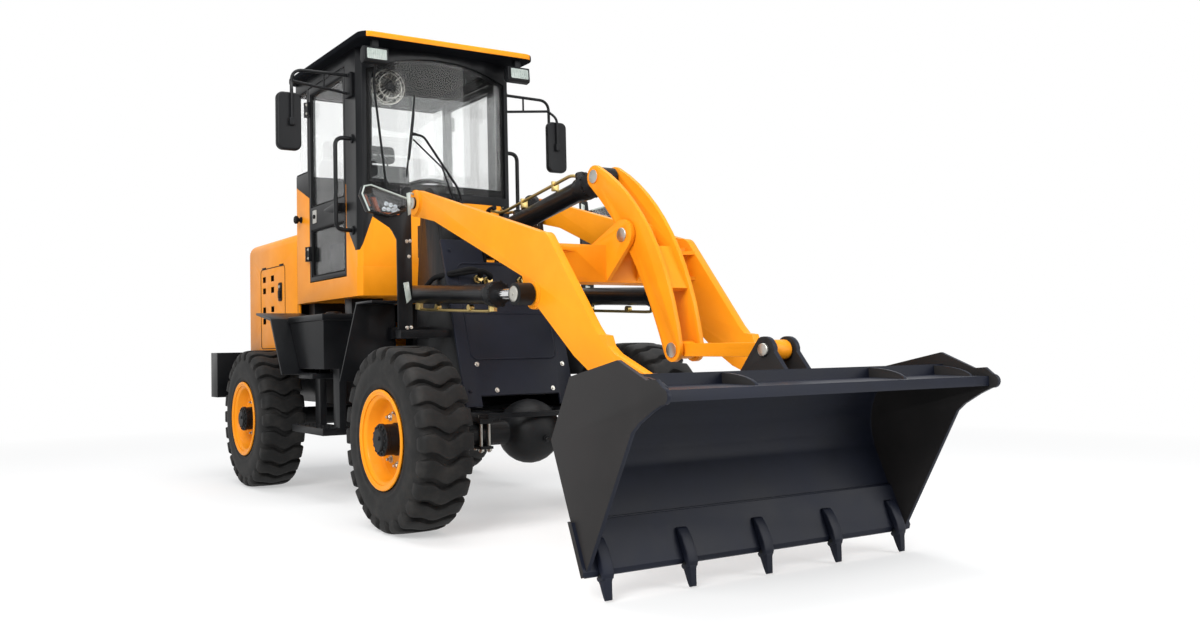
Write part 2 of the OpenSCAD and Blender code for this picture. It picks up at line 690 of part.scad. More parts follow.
// Steps along the shelf, up from it at the fold, and down and forward as the bucket is parked
shelf_dir = unit(front_level - shelf_level);
fold_dir = unit(ridge_level - shelf_level);
rib_foot = shelf_level - 3 * fold_dir;
rib_rise = norm(ridge_level - shelf_level) - 1;
down = [sin(tip_angle), -cos(tip_angle)];
ahead = [cos(tip_angle), sin(tip_angle)];
module bucket() {
    half = bucket_w / 2;
    color([0.1, 0.1, 0.12]) place() tip() difference() {
        union() {
            plate(-half + 1, half - 1) polygon(concat(shell_path, backwards(inner_path(shell_path, shell_t))));
            both_sides() plate(half - cheek_t, half) polygon([
                each [edge_level, heel_level, back_level, apex_level, lip_level, lip_level + [14, 43]],
                each arc(ear_tip_level - ear_r * [cos(tip_angle), sin(tip_angle)], ear_r, 150, -30, 8),
                ear_level + [26, -70], notch_level + [-14, 40], notch_level
            ]);
            plate(-half - 14, half + 14) polygon([
                edge_level + [-edge_len, 2], edge_level + [-edge_len + 8, edge_t], edge_level + [-16, edge_t],
                edge_level + [-2, shell_t - 1], edge_level + [-2, 2]
            ]);
            plate(-half + 1, half - 1) polygon([
                front_level + ahead, front_level + ahead + 36 * down, front_level - 15 * ahead + 36 * down, front_level - 15 * ahead + 6 * down
            ]);
            both_sides() for (y = [rib_y - rib_t, half - 70]) plate(y, y + rib_t) polygon(concat(
                [rib_foot - 3 * shelf_dir],
                [for (a = [0:15:90]) rib_foot - 3 * cos(a) * shelf_dir + rib_len * sin(a) * shelf_dir + rib_rise * cos(a) * fold_dir]
            ));
            for (s = [-1, 1], y = [arm_y0 - side_gap - 20, arm_y1 + side_gap])
                plate(s > 0 ? y : -y - 20, s > 0 ? y + 20 : -y) polygon(concat(
                    arc([0, 0], 54, 130, 270, 8), [[118, -40], [12, 140]]
                ));
            both_sides() plate(46, 66) polygon(concat(
                [[20, 140]], arc(lug_level, 48, 190, 60, 8), [ridge_level + [-2, -8]]
            ));
        }
        both_sides() cross_bar([0, 0], pin_r + pin_gap, arm_y0 - 60, arm_y1 + 60);
        both_sides() cross_bar(lug_level, link_pin_r + pin_gap, 40, 70);
    }
}

module bucket_teeth() {
    half = bucket_w / 2;
    color([0.1, 0.1, 0.12]) place() tip() {
        for (i = [0:tooth_count - 1]) {
            y = -half + 70 + i * (bucket_w - 140) / (tooth_count - 1);
            plate(y - 22, y + 22) polygon([
                edge_level + [-120, edge_t + 0.3], edge_level + [-108, edge_t + 22], edge_level + [8, edge_t + 16], tooth_level + [0, 6],
                tooth_level + [-2, -6], edge_level + [6, 0], edge_level + [0.3, edge_t + 0.3]
            ]);
        }
    }
}

// Cylinders

lift_len = norm(lift_eye - lift_base);
lift_eye_r = 48;
lift_rod_show = 140;
lift_barrel_len = lift_len - lift_eye_r - lift_rod_show;
module lift_barrel(left) {
    color([0.12, 0.12, 0.13]) place() side(left) along(lift_base, lift_eye, lift_y) difference() {
        union() {
            rotate([90, 0, 0]) cylinder(r = lift_barrel_r, h = 2 * lift_half, center = true);
            x_bar(lift_barrel_r - 8, 0, 60);
            x_bar(lift_barrel_r, 56, lift_barrel_len);
            x_bar(lift_barrel_r + 8, lift_barrel_len - 70, lift_barrel_len);
        }
        rotate([90, 0, 0]) cylinder(r = pin_r + pin_gap, h = 200, center = true);
        x_bar(lift_rod_r + pin_gap, 70, lift_barrel_len + 1);
    }
}
module lift_rod(left) {
    color("silver") place() side(left) along(lift_base, lift_eye, lift_y) {
        x_bar(lift_rod_r, 240, lift_len);
        translate([lift_len, 0, 0]) rotate([90, 0, 0]) cylinder(r = lift_eye_r, h = 2 * lift_half, center = true);
        translate([lift_len, lift_half - 1, 0]) rotate([-90, 0, 0]) cylinder(r = 40, h = 11);
    }
}

tilt_len = norm(rocker_top - tilt_base);
tilt_eye_r = 44;
tilt_rod_show = 64;
tilt_barrel_len = tilt_len - tilt_eye_r - tilt_rod_show;
tilt_piston_r = tilt_barrel_r - 11;
module tilt_base_pin() { color("silver") place() cross_bar(tilt_base, pin_r, -70, 70); }
module tilt_barrel() {
    color([0.12, 0.12, 0.13]) place() along(tilt_base, rocker_top) difference() {
        union() {
            rotate([90, 0, 0]) cylinder(r = tilt_barrel_r - 2, h = 80, center = true);
            x_bar(tilt_barrel_r - 10, 0, 64);
            x_bar(tilt_barrel_r, 60, tilt_barrel_len);
            x_bar(tilt_barrel_r + 8, tilt_barrel_len - 80, tilt_barrel_len);
        }
        rotate([90, 0, 0]) cylinder(r = pin_r + pin_gap, h = 200, center = true);
        x_bar(tilt_piston_r + pin_gap, 75, tilt_barrel_len - 80);
        x_bar(tilt_rod_r + pin_gap, 75, tilt_barrel_len + 1);
    }
}
module tilt_piston() { color("silver") place() along(tilt_base, rocker_top) x_bar(tilt_piston_r, 80, 120); }
module tilt_rod() {
    color("silver") place() along(tilt_base, rocker_top) {
        x_bar(tilt_rod_r, 120, tilt_len);
        translate([tilt_len, 0, 0]) rotate([90, 0, 0]) cylinder(r = tilt_eye_r, h = 76, center = true);
    }
}

// Steering cylinders lie flat beside the steering joint
steer_base = [-560, 130];
steer_eye = [100, 200];
steer_z = 745;
steer_len = norm(steer_eye - steer_base);
module steer_line(left) {
    place() side(left) translate([steer_base.x, steer_base.y, steer_z]) rotate(heading(steer_base, steer_eye)) children();
}
module steer_barrel(left) {
    color([0.12, 0.12, 0.13]) steer_line(left) difference() {
        union() {
            cylinder(r = 36, h = 60, center = true);
            x_bar(32, 0, 480);
        }
        cylinder(r = 20 + pin_gap, h = 100, center = true);
        x_bar(18 + pin_gap, 50, 481);
    }
}
module steer_rod(left) {
    color("silver") steer_line(left) {
        x_bar(18, 210, steer_len);
        translate([steer_len, 0, 0]) cylinder(r = 36, h = 60, center = true);
        translate([steer_len, 0, 0]) cylinder(r = 20, h = 36);
    }
}

// Doors hang on hinges at their rear edge
door_hinge = [door_x0 - 6, cab_y + 14];
rail_top = 1728;
rail_foot = 1592;
module door(left) {
    color([0.15, 0.15, 0.16]) place() side(left) {
        difference() {
            box([door_x0 + door_gap, cab_y - 35, door_z0 + door_gap], [door_x1 - door_gap, cab_y, door_z1 - door_gap]);
            box([door_x0 + 28, cab_y - 40, rail_top], [door_x1 - 28, cab_y + 5, door_z1 - 45]);
            box([door_x0 + 28, cab_y - 40, 1300], [door_x1 - 28, cab_y + 5, rail_foot]);
        }
        for (z = [1400, 2300]) {
            translate([door_hinge.x, door_hinge.y, z]) cylinder(r = 12, h = 90);
            translate([door_hinge.x, cab_y + 0, z]) cube([40, 20, 90]);
        }
        box([-170, cab_y - 1, 1640], [-90, cab_y + 24, 1692]);
        plate(cab_y + 22, cab_y + 42) polygon([[-300, 1664], [-160, 1640], [-88, 1642], [-84, 1690], [-160, 1694], [-300, 1676]]);
    }
}
module door_glass(left) {
    color("lightblue", 0.4) place() side(left) {
        box([door_x0 + 28, cab_y - 20, rail_top], [door_x1 - 28, cab_y - 20 + glass_t, door_z1 - 45]);
        box([door_x0 + 28, cab_y - 20, 1300], [door_x1 - 28, cab_y - 20 + glass_t, rail_foot]);
    }
}

rear_frame();
counterweight();
engine();
hood();
rear_grille();
cab_base();
cab_frame();
roof();
cab_glass();
seat();
console();
steering_wheel();
rear_axle();
rear_fenders();
side_steps();
mirrors();
work_lamps();
handrails();
front_frame();
front_cover();
front_axle();
front_fenders();
headlamps();
at_wheel(true, false) tyre_turned();  // tyre_front_right
at_wheel(true, true) tyre_turned();  // tyre_front_left
at_wheel(false, false) tyre_turned();  // tyre_rear_right
at_wheel(false, true) tyre_turned();  // tyre_rear_left
at_wheel(true, false) wheel_turned();  // wheel_front_right
at_wheel(true, true) wheel_turned();  // wheel_front_left
at_wheel(false, false) wheel_turned();  // wheel_rear_right
at_wheel(false, true) wheel_turned();  // wheel_rear_left
boom();
rocker_pin();
rocker();
link_pin();
tilt_link();
bucket_pins();
bucket();
bucket_teeth();
tilt_base_pin();
tilt_barrel();
tilt_piston();
tilt_rod();
lift_barrel(false);  // lift_barrel_right
lift_barrel(true);  // lift_barrel_left
lift_rod(false);  // lift_rod_right
lift_rod(true);  // lift_rod_left
steer_barrel(false);  // steer_barrel_right
steer_barrel(true);  // steer_barrel_left
steer_rod(false);  // steer_rod_right
steer_rod(true);  // steer_rod_left
door(false);  // door_right
door(true);  // door_left
door_glass(false);  // door_glass_right
door_glass(true);  // door_glass_left
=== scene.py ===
# Compact articulated wheel loader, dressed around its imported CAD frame.
import bpy
import bmesh
import json
import math
from mathutils import Matrix, Vector

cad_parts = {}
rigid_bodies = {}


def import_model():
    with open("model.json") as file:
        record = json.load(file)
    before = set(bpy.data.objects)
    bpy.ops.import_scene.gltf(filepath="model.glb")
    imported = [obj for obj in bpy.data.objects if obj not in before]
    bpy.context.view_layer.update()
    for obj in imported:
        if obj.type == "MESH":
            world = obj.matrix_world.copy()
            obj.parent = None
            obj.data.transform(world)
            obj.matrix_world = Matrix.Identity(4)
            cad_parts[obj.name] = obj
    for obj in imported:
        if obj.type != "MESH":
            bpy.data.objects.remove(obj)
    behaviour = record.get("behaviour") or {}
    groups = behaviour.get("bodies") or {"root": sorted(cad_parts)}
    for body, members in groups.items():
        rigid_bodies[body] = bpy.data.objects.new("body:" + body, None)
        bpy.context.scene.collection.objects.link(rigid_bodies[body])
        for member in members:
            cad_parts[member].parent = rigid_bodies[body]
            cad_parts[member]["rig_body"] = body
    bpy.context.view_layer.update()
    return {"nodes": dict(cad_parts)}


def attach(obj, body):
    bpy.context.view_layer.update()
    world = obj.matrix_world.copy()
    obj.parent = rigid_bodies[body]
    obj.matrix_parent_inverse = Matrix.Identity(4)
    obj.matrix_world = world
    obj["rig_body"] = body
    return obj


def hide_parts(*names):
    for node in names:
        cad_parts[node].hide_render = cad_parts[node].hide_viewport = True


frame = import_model()
nodes = frame["nodes"]
print("stage: frame loaded with", len(nodes), "nodes")

midX = 571.33  # mm from the steering joint forward to the row's origin


def at(x, y, z):  # machine millimetres, X = 0 on the steering joint, to the row frame in metres
    return Vector(((x - midX) / 1000, y / 1000, z / 1000))


def hexLinear(code):  # sRGB hex to linear RGBA
    out = []
    for k in (1, 3, 5):
        c = int(code[k:k + 2], 16) / 255
        out.append(c / 12.92 if c <= 0.04045 else ((c + 0.055) / 1.055) ** 2.4)
    return (*out, 1.0)


# Camera at the photograph's viewing angle, image taken as 1200 x 630
camSet = {
    "place": (5388.3, -2788.7, 828.5), "azimuth": 150.16, "pitch": 2.59, "roll": -1.02,
    "focalPx": 1033.5, "centrePx": (475.2, 304.6), "imagePx": (1200, 630),
}


def makeCamera(s):
    cam = bpy.data.cameras.new("photoCamera")
    w, h = s["imagePx"]
    cam.sensor_width = 36
    cam.lens = s["focalPx"] * 36 / w
    cam.shift_x = (w / 2 - s["centrePx"][0]) / w
    cam.shift_y = (s["centrePx"][1] - h / 2) / w
    cam.clip_end = 100
    obj = bpy.data.objects.new("photoCamera", cam)
    bpy.context.scene.collection.objects.link(obj)
    az, el, roll = (math.radians(s[k]) for k in ("azimuth", "pitch", "roll"))
    look = Vector((math.cos(el) * math.cos(az), math.cos(el) * math.sin(az), math.sin(el)))
    right = look.cross(Vector((0, 0, 1))).normalized()
    up = right.cross(look)
    r2 = right * math.cos(roll) + up * math.sin(roll)
    u2 = up * math.cos(roll) - right * math.sin(roll)
    m = Matrix((r2, u2, -look)).transposed().to_4x4()
    m.translation = at(*s["place"])
    obj.matrix_world = m
    bpy.context.scene.camera = obj


makeCamera(camSet)


# Materials
def addNode(tree, kind, settings=None, links=None):
    n = tree.nodes.new(kind)
    for key, value in (settings or {}).items():
        if hasattr(n, key):
            setattr(n, key, value)
        else:
            n.inputs[key].default_value = value
    for key, source in (links or {}).items():
        tree.links.new(source, n.inputs[key])
    return n


def newMaterial(name):
    mat = bpy.data.materials.new(name)
    mat.use_nodes = True
    tree = mat.node_tree
    tree.nodes.clear()
    out = addNode(tree, "ShaderNodeOutputMaterial")
    shader = addNode(tree, "ShaderNodeBsdfPrincipled")
    tree.links.new(shader.outputs[0], out.inputs[0])
    return mat, tree, shader


def ramp(tree, source, stops):
    n = addNode(tree, "ShaderNodeValToRGB", links={"Fac": source})
    while len(n.color_ramp.elements) < len(stops):
        n.color_ramp.elements.new(0.5)
    for e, (place, colour) in zip(n.color_ramp.elements, stops):
        e.position, e.color = place, colour
    return n.outputs["Color"]


def noiseAt(tree, size, settings):  # noise with cells of the given size in mm, in the piece's own axes
    where = addNode(tree, "ShaderNodeTexCoord").outputs["Object"]
    return addNode(tree, "ShaderNodeTexNoise", {"Scale": 1000 / size, **settings}, {"Vector": where}).outputs["Fac"]


grainHeight = 0.0006  # metres at full strength


def bumpOf(tree, height, strength):
    settings = {"Strength": strength, "Distance": grainHeight}
    return addNode(tree, "ShaderNodeBump", settings, {"Height": height}).outputs["Normal"]


def drive(tree, shader, sources):  # each source is a node's output, or a constant set on the socket itself
    for key, source in sources.items():
        if isinstance(source, bpy.types.NodeSocket):
            tree.links.new(source, shader.inputs[key])
        else:
            shader.inputs[key].default_value = source


def grey(v):
    return (v, v, v, 1)


# Each painted or moulded finish; mottle and grain are pattern sizes in millimetres
bumpGain, coatRough = 4, 0.12
paintColumns = ("base", "worn", "rough", "mottle", "grain", "bump", "coat", "shine")
paintRows = {
    # two-pack enamel sprayed on steel: even gloss with a faint orange peel
    "sprayedEnamelYellow": ("#f0961a", "#e58a12", (0.34, 0.46), 320, 5, 0.012, 0.03, 0.14),
    # semi-gloss chassis enamel: near black, a little dust-grey in patches
    "sprayedEnamelBlack": ("#0e0f11", "#18191b", (0.3, 0.46), 240, 4, 0.015, 0.03, 0.16),
    # matt near-black on the roof's underside and side faces, the faces that point down or sideways: no sheen at a
    # flat angle
    "mattBlackUnderAndSides": ("#0c0d10", "#131519", (0.86, 0.95), 200, 1.8, 0.03, 0.0, 0.04),
    # satin blue-black enamel of the bolted cover and the bucket's shell, its blue tint a painted sheen; on the
    # bucket, its darker tone than the cheeks is painted shade of the bucket's inside
    "blueBlackPaintedSheenAndShade": ("#12151f", "#191d2a", (0.4, 0.55), 260, 4, 0.015, 0.0, 0.16),
    # charcoal enamel of the bucket's plates, lighter than the blue-black shell with its painted shade: flat and a
    # little brown
    "sprayedEnamelCharcoal": ("#1c1b1b", "#262424", (0.5, 0.66), 300, 4, 0.02, 0.0, 0.2),
    # sand-cast iron under one coat of paint: grainy, low sheen
    "castIronPainted": ("#0c0d0e", "#191a1c", (0.4, 0.6), 90, 2.2, 0.1, 0.0, 0.18),
    # grained ABS mouldings: matt black with a fine leather grain
    "absPlasticGrained": ("#0e0f11", "#161719", (0.45, 0.58), 120, 1.6, 0.05, 0.0, 0.2),
    # extruded rubber seals and hose covers: dull deep black
    "rubberExtruded": ("#0a0a0b", "#131314", (0.62, 0.75), 80, 1.2, 0.04, 0.0, 0.15),
    # vinyl upholstery on foam: dark with a soft sheen and a pebble grain
    "vinylUpholstery": ("#141517", "#1f2022", (0.48, 0.6), 140, 2.4, 0.12, 0.0, 0.2),
    # injection-moulded reflector and lamp lenses, seen as tinted plastic
    "acrylicRed": ("#b3150f", "#8c0f0b", (0.12, 0.2), 30, 3.0, 0.08, 0.4, 0.5),
    "acrylicAmber": ("#c8602c", "#a84a1e", (0.12, 0.2), 30, 3.0, 0.08, 0.4, 0.5),
    "acrylicWhite": ("#a9b2ac", "#929b96", (0.14, 0.24), 24, 3.0, 0.08, 0.4, 0.5),
}


def paint(name, s):
    mat, tree, shader = newMaterial(name)
    big = noiseAt(tree, s["mottle"], {"Detail": 5, "Roughness": 0.6})
    fine = noiseAt(tree, s["grain"], {"Detail": 2})
    drive(tree, shader, {
        "Base Color": ramp(tree, big, [(0.35, hexLinear(s["base"])), (0.75, hexLinear(s["worn"]))]),
        "Roughness": ramp(tree, big, [(0.3, grey(s["rough"][0])), (0.8, grey(s["rough"][1]))]),
        "Normal": bumpOf(tree, fine, s["bump"] * bumpGain),
        "Specular IOR Level": s["shine"], "Coat Weight": s["coat"], "Coat Roughness": coatRough,
    })
    return mat


finish = {name: paint(name, dict(zip(paintColumns, row))) for name, row in paintRows.items()}

# Bright metals with fine tool marks: ground hard chrome, zinc-plated steel, yellow-passivated zinc, silvered mirror
metalSet = {
    "hardChromeGround": {"base": "#d9dadc", "rough": (0.10, 0.18), "lines": 1.5},
    "zincPlatedTurned": {"base": "#b9b7b0", "rough": (0.28, 0.42), "lines": 2.0},
    "zincPassivatedGold": {"base": "#b8a26a", "rough": (0.30, 0.45), "lines": 3.0},
    "mirrorSilvered": {"base": "#dfe3e6", "rough": (0.02, 0.04), "lines": 4.0},
}


def metal(name, s):
    mat, tree, shader = newMaterial(name)
    marks = noiseAt(tree, s["lines"] * 10, {"Detail": 4})
    rough = ramp(tree, marks, [(0.3, grey(s["rough"][0])), (0.7, grey(s["rough"][1]))])
    drive(tree, shader, {"Base Color": hexLinear(s["base"]), "Roughness": rough, "Metallic": 1.0})
    return mat


finish.update({name: metal(name, s) for name, s in metalSet.items()})

# Moulded tyre rubber: dull black with a little road dust
rubberSet = {"base": "#121212", "dust": "#2a2826", "grain": 1.5, "dustPatch": 90, "shine": 0.25, "bump": 0.25,
             "rough": 0.68}


def rubber(s):
    mat, tree, shader = newMaterial("tyreRubberMoulded")
    patch = noiseAt(tree, s["dustPatch"], {"Detail": 6, "Roughness": 0.65})
    grain = noiseAt(tree, s["grain"], {"Detail": 2})
    drive(tree, shader, {
        "Base Color": ramp(tree, patch, [(0.45, hexLinear(s["base"])), (0.8, hexLinear(s["dust"]))]),
        "Normal": bumpOf(tree, grain, s["bump"]), "Roughness": s["rough"], "Specular IOR Level": s["shine"],
    })
    return mat


finish["tyreRubberMoulded"] = rubber(rubberSet)

# Clear sheets: toughened window glass with a faint green tint, moulded polycarbonate lamp lens
clearSet = {
    "toughenedGlass": {"tint": "#f3f9f7", "rough": 0.001, "ior": 1.45, "alpha": 0.22, "film": 900},
    "polycarbonateClear": {"tint": "#7d8183", "rough": 0.02, "ior": 1.45, "alpha": 0.50, "film": 60},
}


def clearSheet(name, s):
    mat, tree, shader = newMaterial(name)
    film = noiseAt(tree, s["film"], {"Detail": 3})
    rough = ramp(tree, film, [(0.4, grey(s["rough"])), (0.8, grey(s["rough"] * 4))])  # faint wiping film
    drive(tree, shader, {"Base Color": hexLinear(s["tint"]), "Roughness": rough, "IOR": s["ior"],
                         "Transmission Weight": 1.0, "Alpha": s["alpha"]})
    return mat


finish.update({name: clearSheet(name, s) for name, s in clearSet.items()})
print("stage: materials made", len(finish))


# Mesh helpers, all in machine millimetres
def turns(n):
    return [2 * math.pi * k / n for k in range(n)]


def addRings(bm, rings, slot=0, loop=False, caps=True):
    made = [[bm.verts.new(p) for p in ring] for ring in rings]
    pairs = list(zip(made, made[1:])) + ([(made[-1], made[0])] if loop else [])
    n = len(made[0])
    for a, b in pairs:
        for k in range(n):
            bm.faces.new((a[k], a[(k + 1) % n], b[(k + 1) % n], b[k])).material_index = slot
    if caps and not loop:
        for ring in (made[0][::-1], made[-1]):
            bm.faces.new(ring).material_index = slot


def bentPath(points, bend, steps=5):  # corners of a bent tube, rounded with the bend's length
    pts = [Vector(p) for p in points]
    out = [pts[0]]
    for a, b, c in zip(pts, pts[1:], pts[2:]):
        cut = min(bend, (a - b).length * 0.48, (c - b).length * 0.48)
        p, q = b + (a - b).normalized() * cut, b + (c - b).normalized() * cut
        for i in range(steps + 1):
            t = i / steps
            out.append(p * (1 - t) ** 2 + b * (2 * t * (1 - t)) + q * t ** 2)
    return out + [pts[-1]]


def addTube(bm, points, radius, sides=12, slot=0, loop=False):
    pts = [Vector(p) for p in points]
    last = len(pts) - 1
    side, rings = None, []
    for i, p in enumerate(pts):
        before, after = (pts[i - 1], pts[(i + 1) % len(pts)]) if loop else (pts[max(i - 1, 0)],
                pts[min(i + 1, last)])
        ahead = (after - before).normalized()
        side = ahead.orthogonal() if side is None else side
        side = (side - ahead * side.dot(ahead)).normalized()
        up = ahead.cross(side)
        r = radius[i] if isinstance(radius, list) else radius
        rings.append([p + (side * math.cos(a) + up * math.sin(a)) * r for a in turns(sides)])
    addRings(bm, rings, slot, loop)


def addTurned(bm, profile, base, axis, sides=32, slot=0, loop=False):  # profile: (distance along the axis, radius)
    axis, base = Vector(axis).normalized(), Vector(base)
    side = axis.orthogonal().normalized()
    up = axis.cross(side)
    spokes = [side * math.cos(a) + up * math.sin(a) for a in turns(sides)]
    addRings(bm, [[base + axis * t + d * r for d in spokes] for t, r in profile], slot, loop)


def addBolt(bm, place, axis, head=12, slot=0):  # hexagon head on its washer; head is half its width over corners
    addTurned(bm, [(-1, 1.5 * head), (0.2 * head, 1.5 * head), (0.28 * head, 1.4 * head)], place, axis, 16, slot)
    addTurned(bm, [(0.2 * head, head), (0.85 * head, head), (1.05 * head, 0.8 * head)], place, axis, 6, slot)


def mergeForm(bm, part, slot):
    for f in part.faces:
        f.material_index = slot
    mesh = bpy.data.meshes.new("scratchForm")
    part.to_mesh(mesh)
    part.free()
    bm.from_mesh(mesh)
    bpy.data.meshes.remove(mesh)


def addBlock(bm, one, two, edge=4.0, slot=0, segments=2):
    part = bmesh.new()
    bmesh.ops.create_cube(part, size=1)
    low, high = [min(a, b) for a, b in zip(one, two)], [max(a, b) for a, b in zip(one, two)]
    for v in part.verts:
        v.co = Vector([low[k] + (v.co[k] + 0.5) * (high[k] - low[k]) for k in range(3)])
    bmesh.ops.bevel(part, geom=part.edges[:], offset=edge, segments=segments, profile=0.5, affect="EDGES")
    mergeForm(bm, part, slot)


def addPlate(bm, outline, lift, edge=2.0, slot=0, segments=2, angle=20):
    part = bmesh.new()
    addRings(part, [[Vector(p) for p in outline], [Vector(p) + Vector(lift) for p in outline]])
    bmesh.ops.recalc_face_normals(part, faces=part.faces)
    sharp = [e for e in part.edges if e.calc_face_angle(0) > math.radians(angle)]
    bmesh.ops.bevel(part, geom=sharp, offset=edge, segments=segments, profile=0.5, affect="EDGES",
                    clamp_overlap=True)
    mergeForm(bm, part, slot)


def roundRect(a0, b0, a1, b1, r, steps=5):
    out = []
    for ca, cb, start in ((a1 - r, b1 - r, 0), (a0 + r, b1 - r, 90), (a0 + r, b0 + r, 180), (a1 - r, b0 + r, 270)):
        for i in range(steps + 1):
            t = math.radians(start + 90 * i / steps)
            out.append((ca + r * math.cos(t), cb + r * math.sin(t)))
    return out


def placeMesh(name, bm, materials):
    mesh = bpy.data.meshes.new(name)
    bm.to_mesh(mesh)
    bm.free()
    for m in materials:
        mesh.materials.append(m)
    for p in mesh.polygons:
        p.use_smooth = True
    obj = bpy.data.objects.new(name, mesh)
    bpy.context.scene.collection.objects.link(obj)
    return obj


def finishPiece(name, body, bm, materials, replaced=(), angle=35):
    for v in bm.verts:
        v.co = at(*v.co)
    bmesh.ops.recalc_face_normals(bm, faces=bm.faces)
    obj = placeMesh(name, bm, [finish[m] for m in materials])
    obj.data.set_sharp_from_angle(angle=math.radians(angle))
    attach(obj, body)
    if replaced:
        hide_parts(*replaced)
    return obj


def bodyOf(node):
    return nodes[node]["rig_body"]


# A CAD node's own mesh, copied, with its sheet edges broken as a press or grinder leaves them
def dressNode(node, material, edge=3.0, segments=2, angle=28, second=None, where=None):
    src = nodes[node]
    bm = bmesh.new()
    bm.from_mesh(src.data)
    bmesh.ops.remove_doubles(bm, verts=bm.verts, dist=1e-5)
    bmesh.ops.dissolve_limit(bm, angle_limit=math.radians(0.6), verts=bm.verts, edges=bm.edges)
    bm.normal_update()
    for f in bm.faces:
        f.material_index = 1 if where and where(f.calc_center_median(), f.normal) else 0
    obj = placeMesh(node + "Dressed", bm, [finish[m] for m in (material, second) if m])
    if edge:
        mod = obj.modifiers.new("edgeBreak", "BEVEL")
        mod.width = edge / 1000
        mod.segments = segments
        mod.limit_method = "ANGLE"
        mod.angle_limit = math.radians(angle)
        mod.harden_normals = True
        mod.use_clamp_overlap = True
    else:
        obj.data.set_sharp_from_angle(angle=math.radians(angle))
    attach(obj, src["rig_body"])
    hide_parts(node)


nodeFinish = {
    "sprayedEnamelYellow": ["boom", "tilt_link"],
    "sprayedEnamelBlack": ["rear_frame", "counterweight", "cab_frame", "rear_fenders", "side_steps", "front_frame",
                           "front_fenders", "tilt_barrel", "lift_barrel_right", "lift_barrel_left",
                           "steer_barrel_right", "steer_barrel_left", "door_right", "door_left", "rear_grille"],
    "blueBlackPaintedSheenAndShade": ["front_cover"],
    "castIronPainted": ["rear_axle", "front_axle", "engine"],
    "zincPlatedTurned": ["rocker_pin", "link_pin", "bucket_pins", "tilt_base_pin", "tilt_piston"],
    "absPlasticGrained": ["console"],
}
for material, names in nodeFinish.items():
    for n in names:
        dressNode(n, material)
for n in ("cab_glass", "door_glass_right", "door_glass_left"):
    dressNode(n, "toughenedGlass", edge=0, angle=20)
# the roof's faces that point down or sideways in matt near-black
dressNode("roof", "sprayedEnamelYellow", edge=8, segments=3, second="mattBlackUnderAndSides", where=lambda c,
          n: n.z < -0.5 or abs(n.y) > 0.6)
dressNode("hood", "sprayedEnamelYellow", second="sprayedEnamelBlack",  # the walls of the air holes in black: painted shade inside the holes
          where=lambda c, n: abs(n.y) < 0.5 and 0.44 < abs(c.y) < 0.4899 and 1.0 < c.z < 1.42 and at(-1700, 0,
                  0).x < c.x < at(-1300, 0, 0).x)
cabMiddle = at(-390, 0, 1450)
dressNode("cab_base", "sprayedEnamelYellow", second="absPlasticGrained",
          where=lambda c, n: n.xy.dot((cabMiddle - c).xy) > 0.02 or (n.z > 0.7 and (cabMiddle - c).xy.length < 0.3))
dressNode("rocker", "sprayedEnamelYellow", second="zincPlatedTurned", where=lambda c, n: abs(c.y) > 0.0655)
# the bucket's shell, inside and out, in the darker blue-black: painted shade of the bucket's inside, with a painted
# bluish sheen
dressNode("bucket", "sprayedEnamelCharcoal", second="blueBlackPaintedSheenAndShade",
          where=lambda c, n: abs(n.y) < 0.5 and abs(c.y) < 0.79)
print("stage: nodes dressed")

# Tyres: wavy block lugs that run over the shoulder, each row (carcass r, z, lug r, z, lug width share)
tyreSet = {
    "lugs": 24, "radius": 430, "half": 132.5, "wave": (16, 9),
    "across": [(-56.3, 0), (-47, 0), (-43, 0.05), (-40.5, 0.5), (-38, 0.94), (-35, 1), (-17, 1), (0, 1), (17, 1),
               (35, 1), (38, 0.94), (40.5, 0.5), (43, 0.05), (47, 0)],
    "side": [(206, 98), (231, 120), (236, 127), (246, 130), (252, 131), (258, 134.5), (266, 135), (272, 133.5),
             (292, 135.5), (312, 136.4), (330, 135.8), (346, 133.6), (358, 130.6)],
    "tread": [(364, 128.5, 364, 129, 0.55), (371, 125.5, 373, 132, 0.70), (380, 121, 388, 133.4, 0.84),
              (389, 114.5, 404, 131, 0.93), (396, 105, 416, 124, 1),
              (401, 94, 424, 112, 1), (404, 80, 428, 94, 1), (405.5, 60, 429.4, 70, 1), (406, 40, 429.8, 46,
                      1), (406, 20, 430, 23, 1), (406, 0, 430, 0, 1)],
}
halfTrack, axleHeight = 675, 430
wheelPlace = {"front_right": (1040, -1), "front_left": (1040, 1), "rear_right": (-1040, -1),
              "rear_left": (-1040, 1)}


def wheelPoint(corner, x, y, z):  # wheel axes, z outboard, to the machine
    px, s = wheelPlace[corner]
    return (px + x, s * (halfTrack + z), axleHeight - s * y)


def makeTyre(corner, s):
    bm = bmesh.new()
    halfRows = [(r, z, r, z, 1) for r, z in s["side"]] + s["tread"]
    rows = halfRows + [(r, -z, lr, -lz, w) for r, z, lr, lz, w in halfRows[-2::-1]]
    rings = []
    for r, z, lr, lz, share in rows:
        t = max(-1, min(1, lz / s["half"]))
        wave = -s["wave"][0] * math.cos(math.pi * t) - s["wave"][1] * math.cos(2 * math.pi * t)
        ring = []
        for i in range(s["lugs"]):
            for u, h in s["across"]:
                a = 2 * math.pi * i / s["lugs"] + ((u * share if abs(u) < 50 else u) + wave) / s["radius"]
                rr, zz = r + (lr - r) * h, z + (lz - z) * h
                ring.append(wheelPoint(corner, rr * math.cos(a), rr * math.sin(a), zz))
        rings.append(ring)
    addRings(bm, rings, loop=True)
    finishPiece("tyre_" + corner + "_moulded", bodyOf("tyre_" + corner), bm, ["tyreRubberMoulded"],
                ["tyre_" + corner], angle=40)


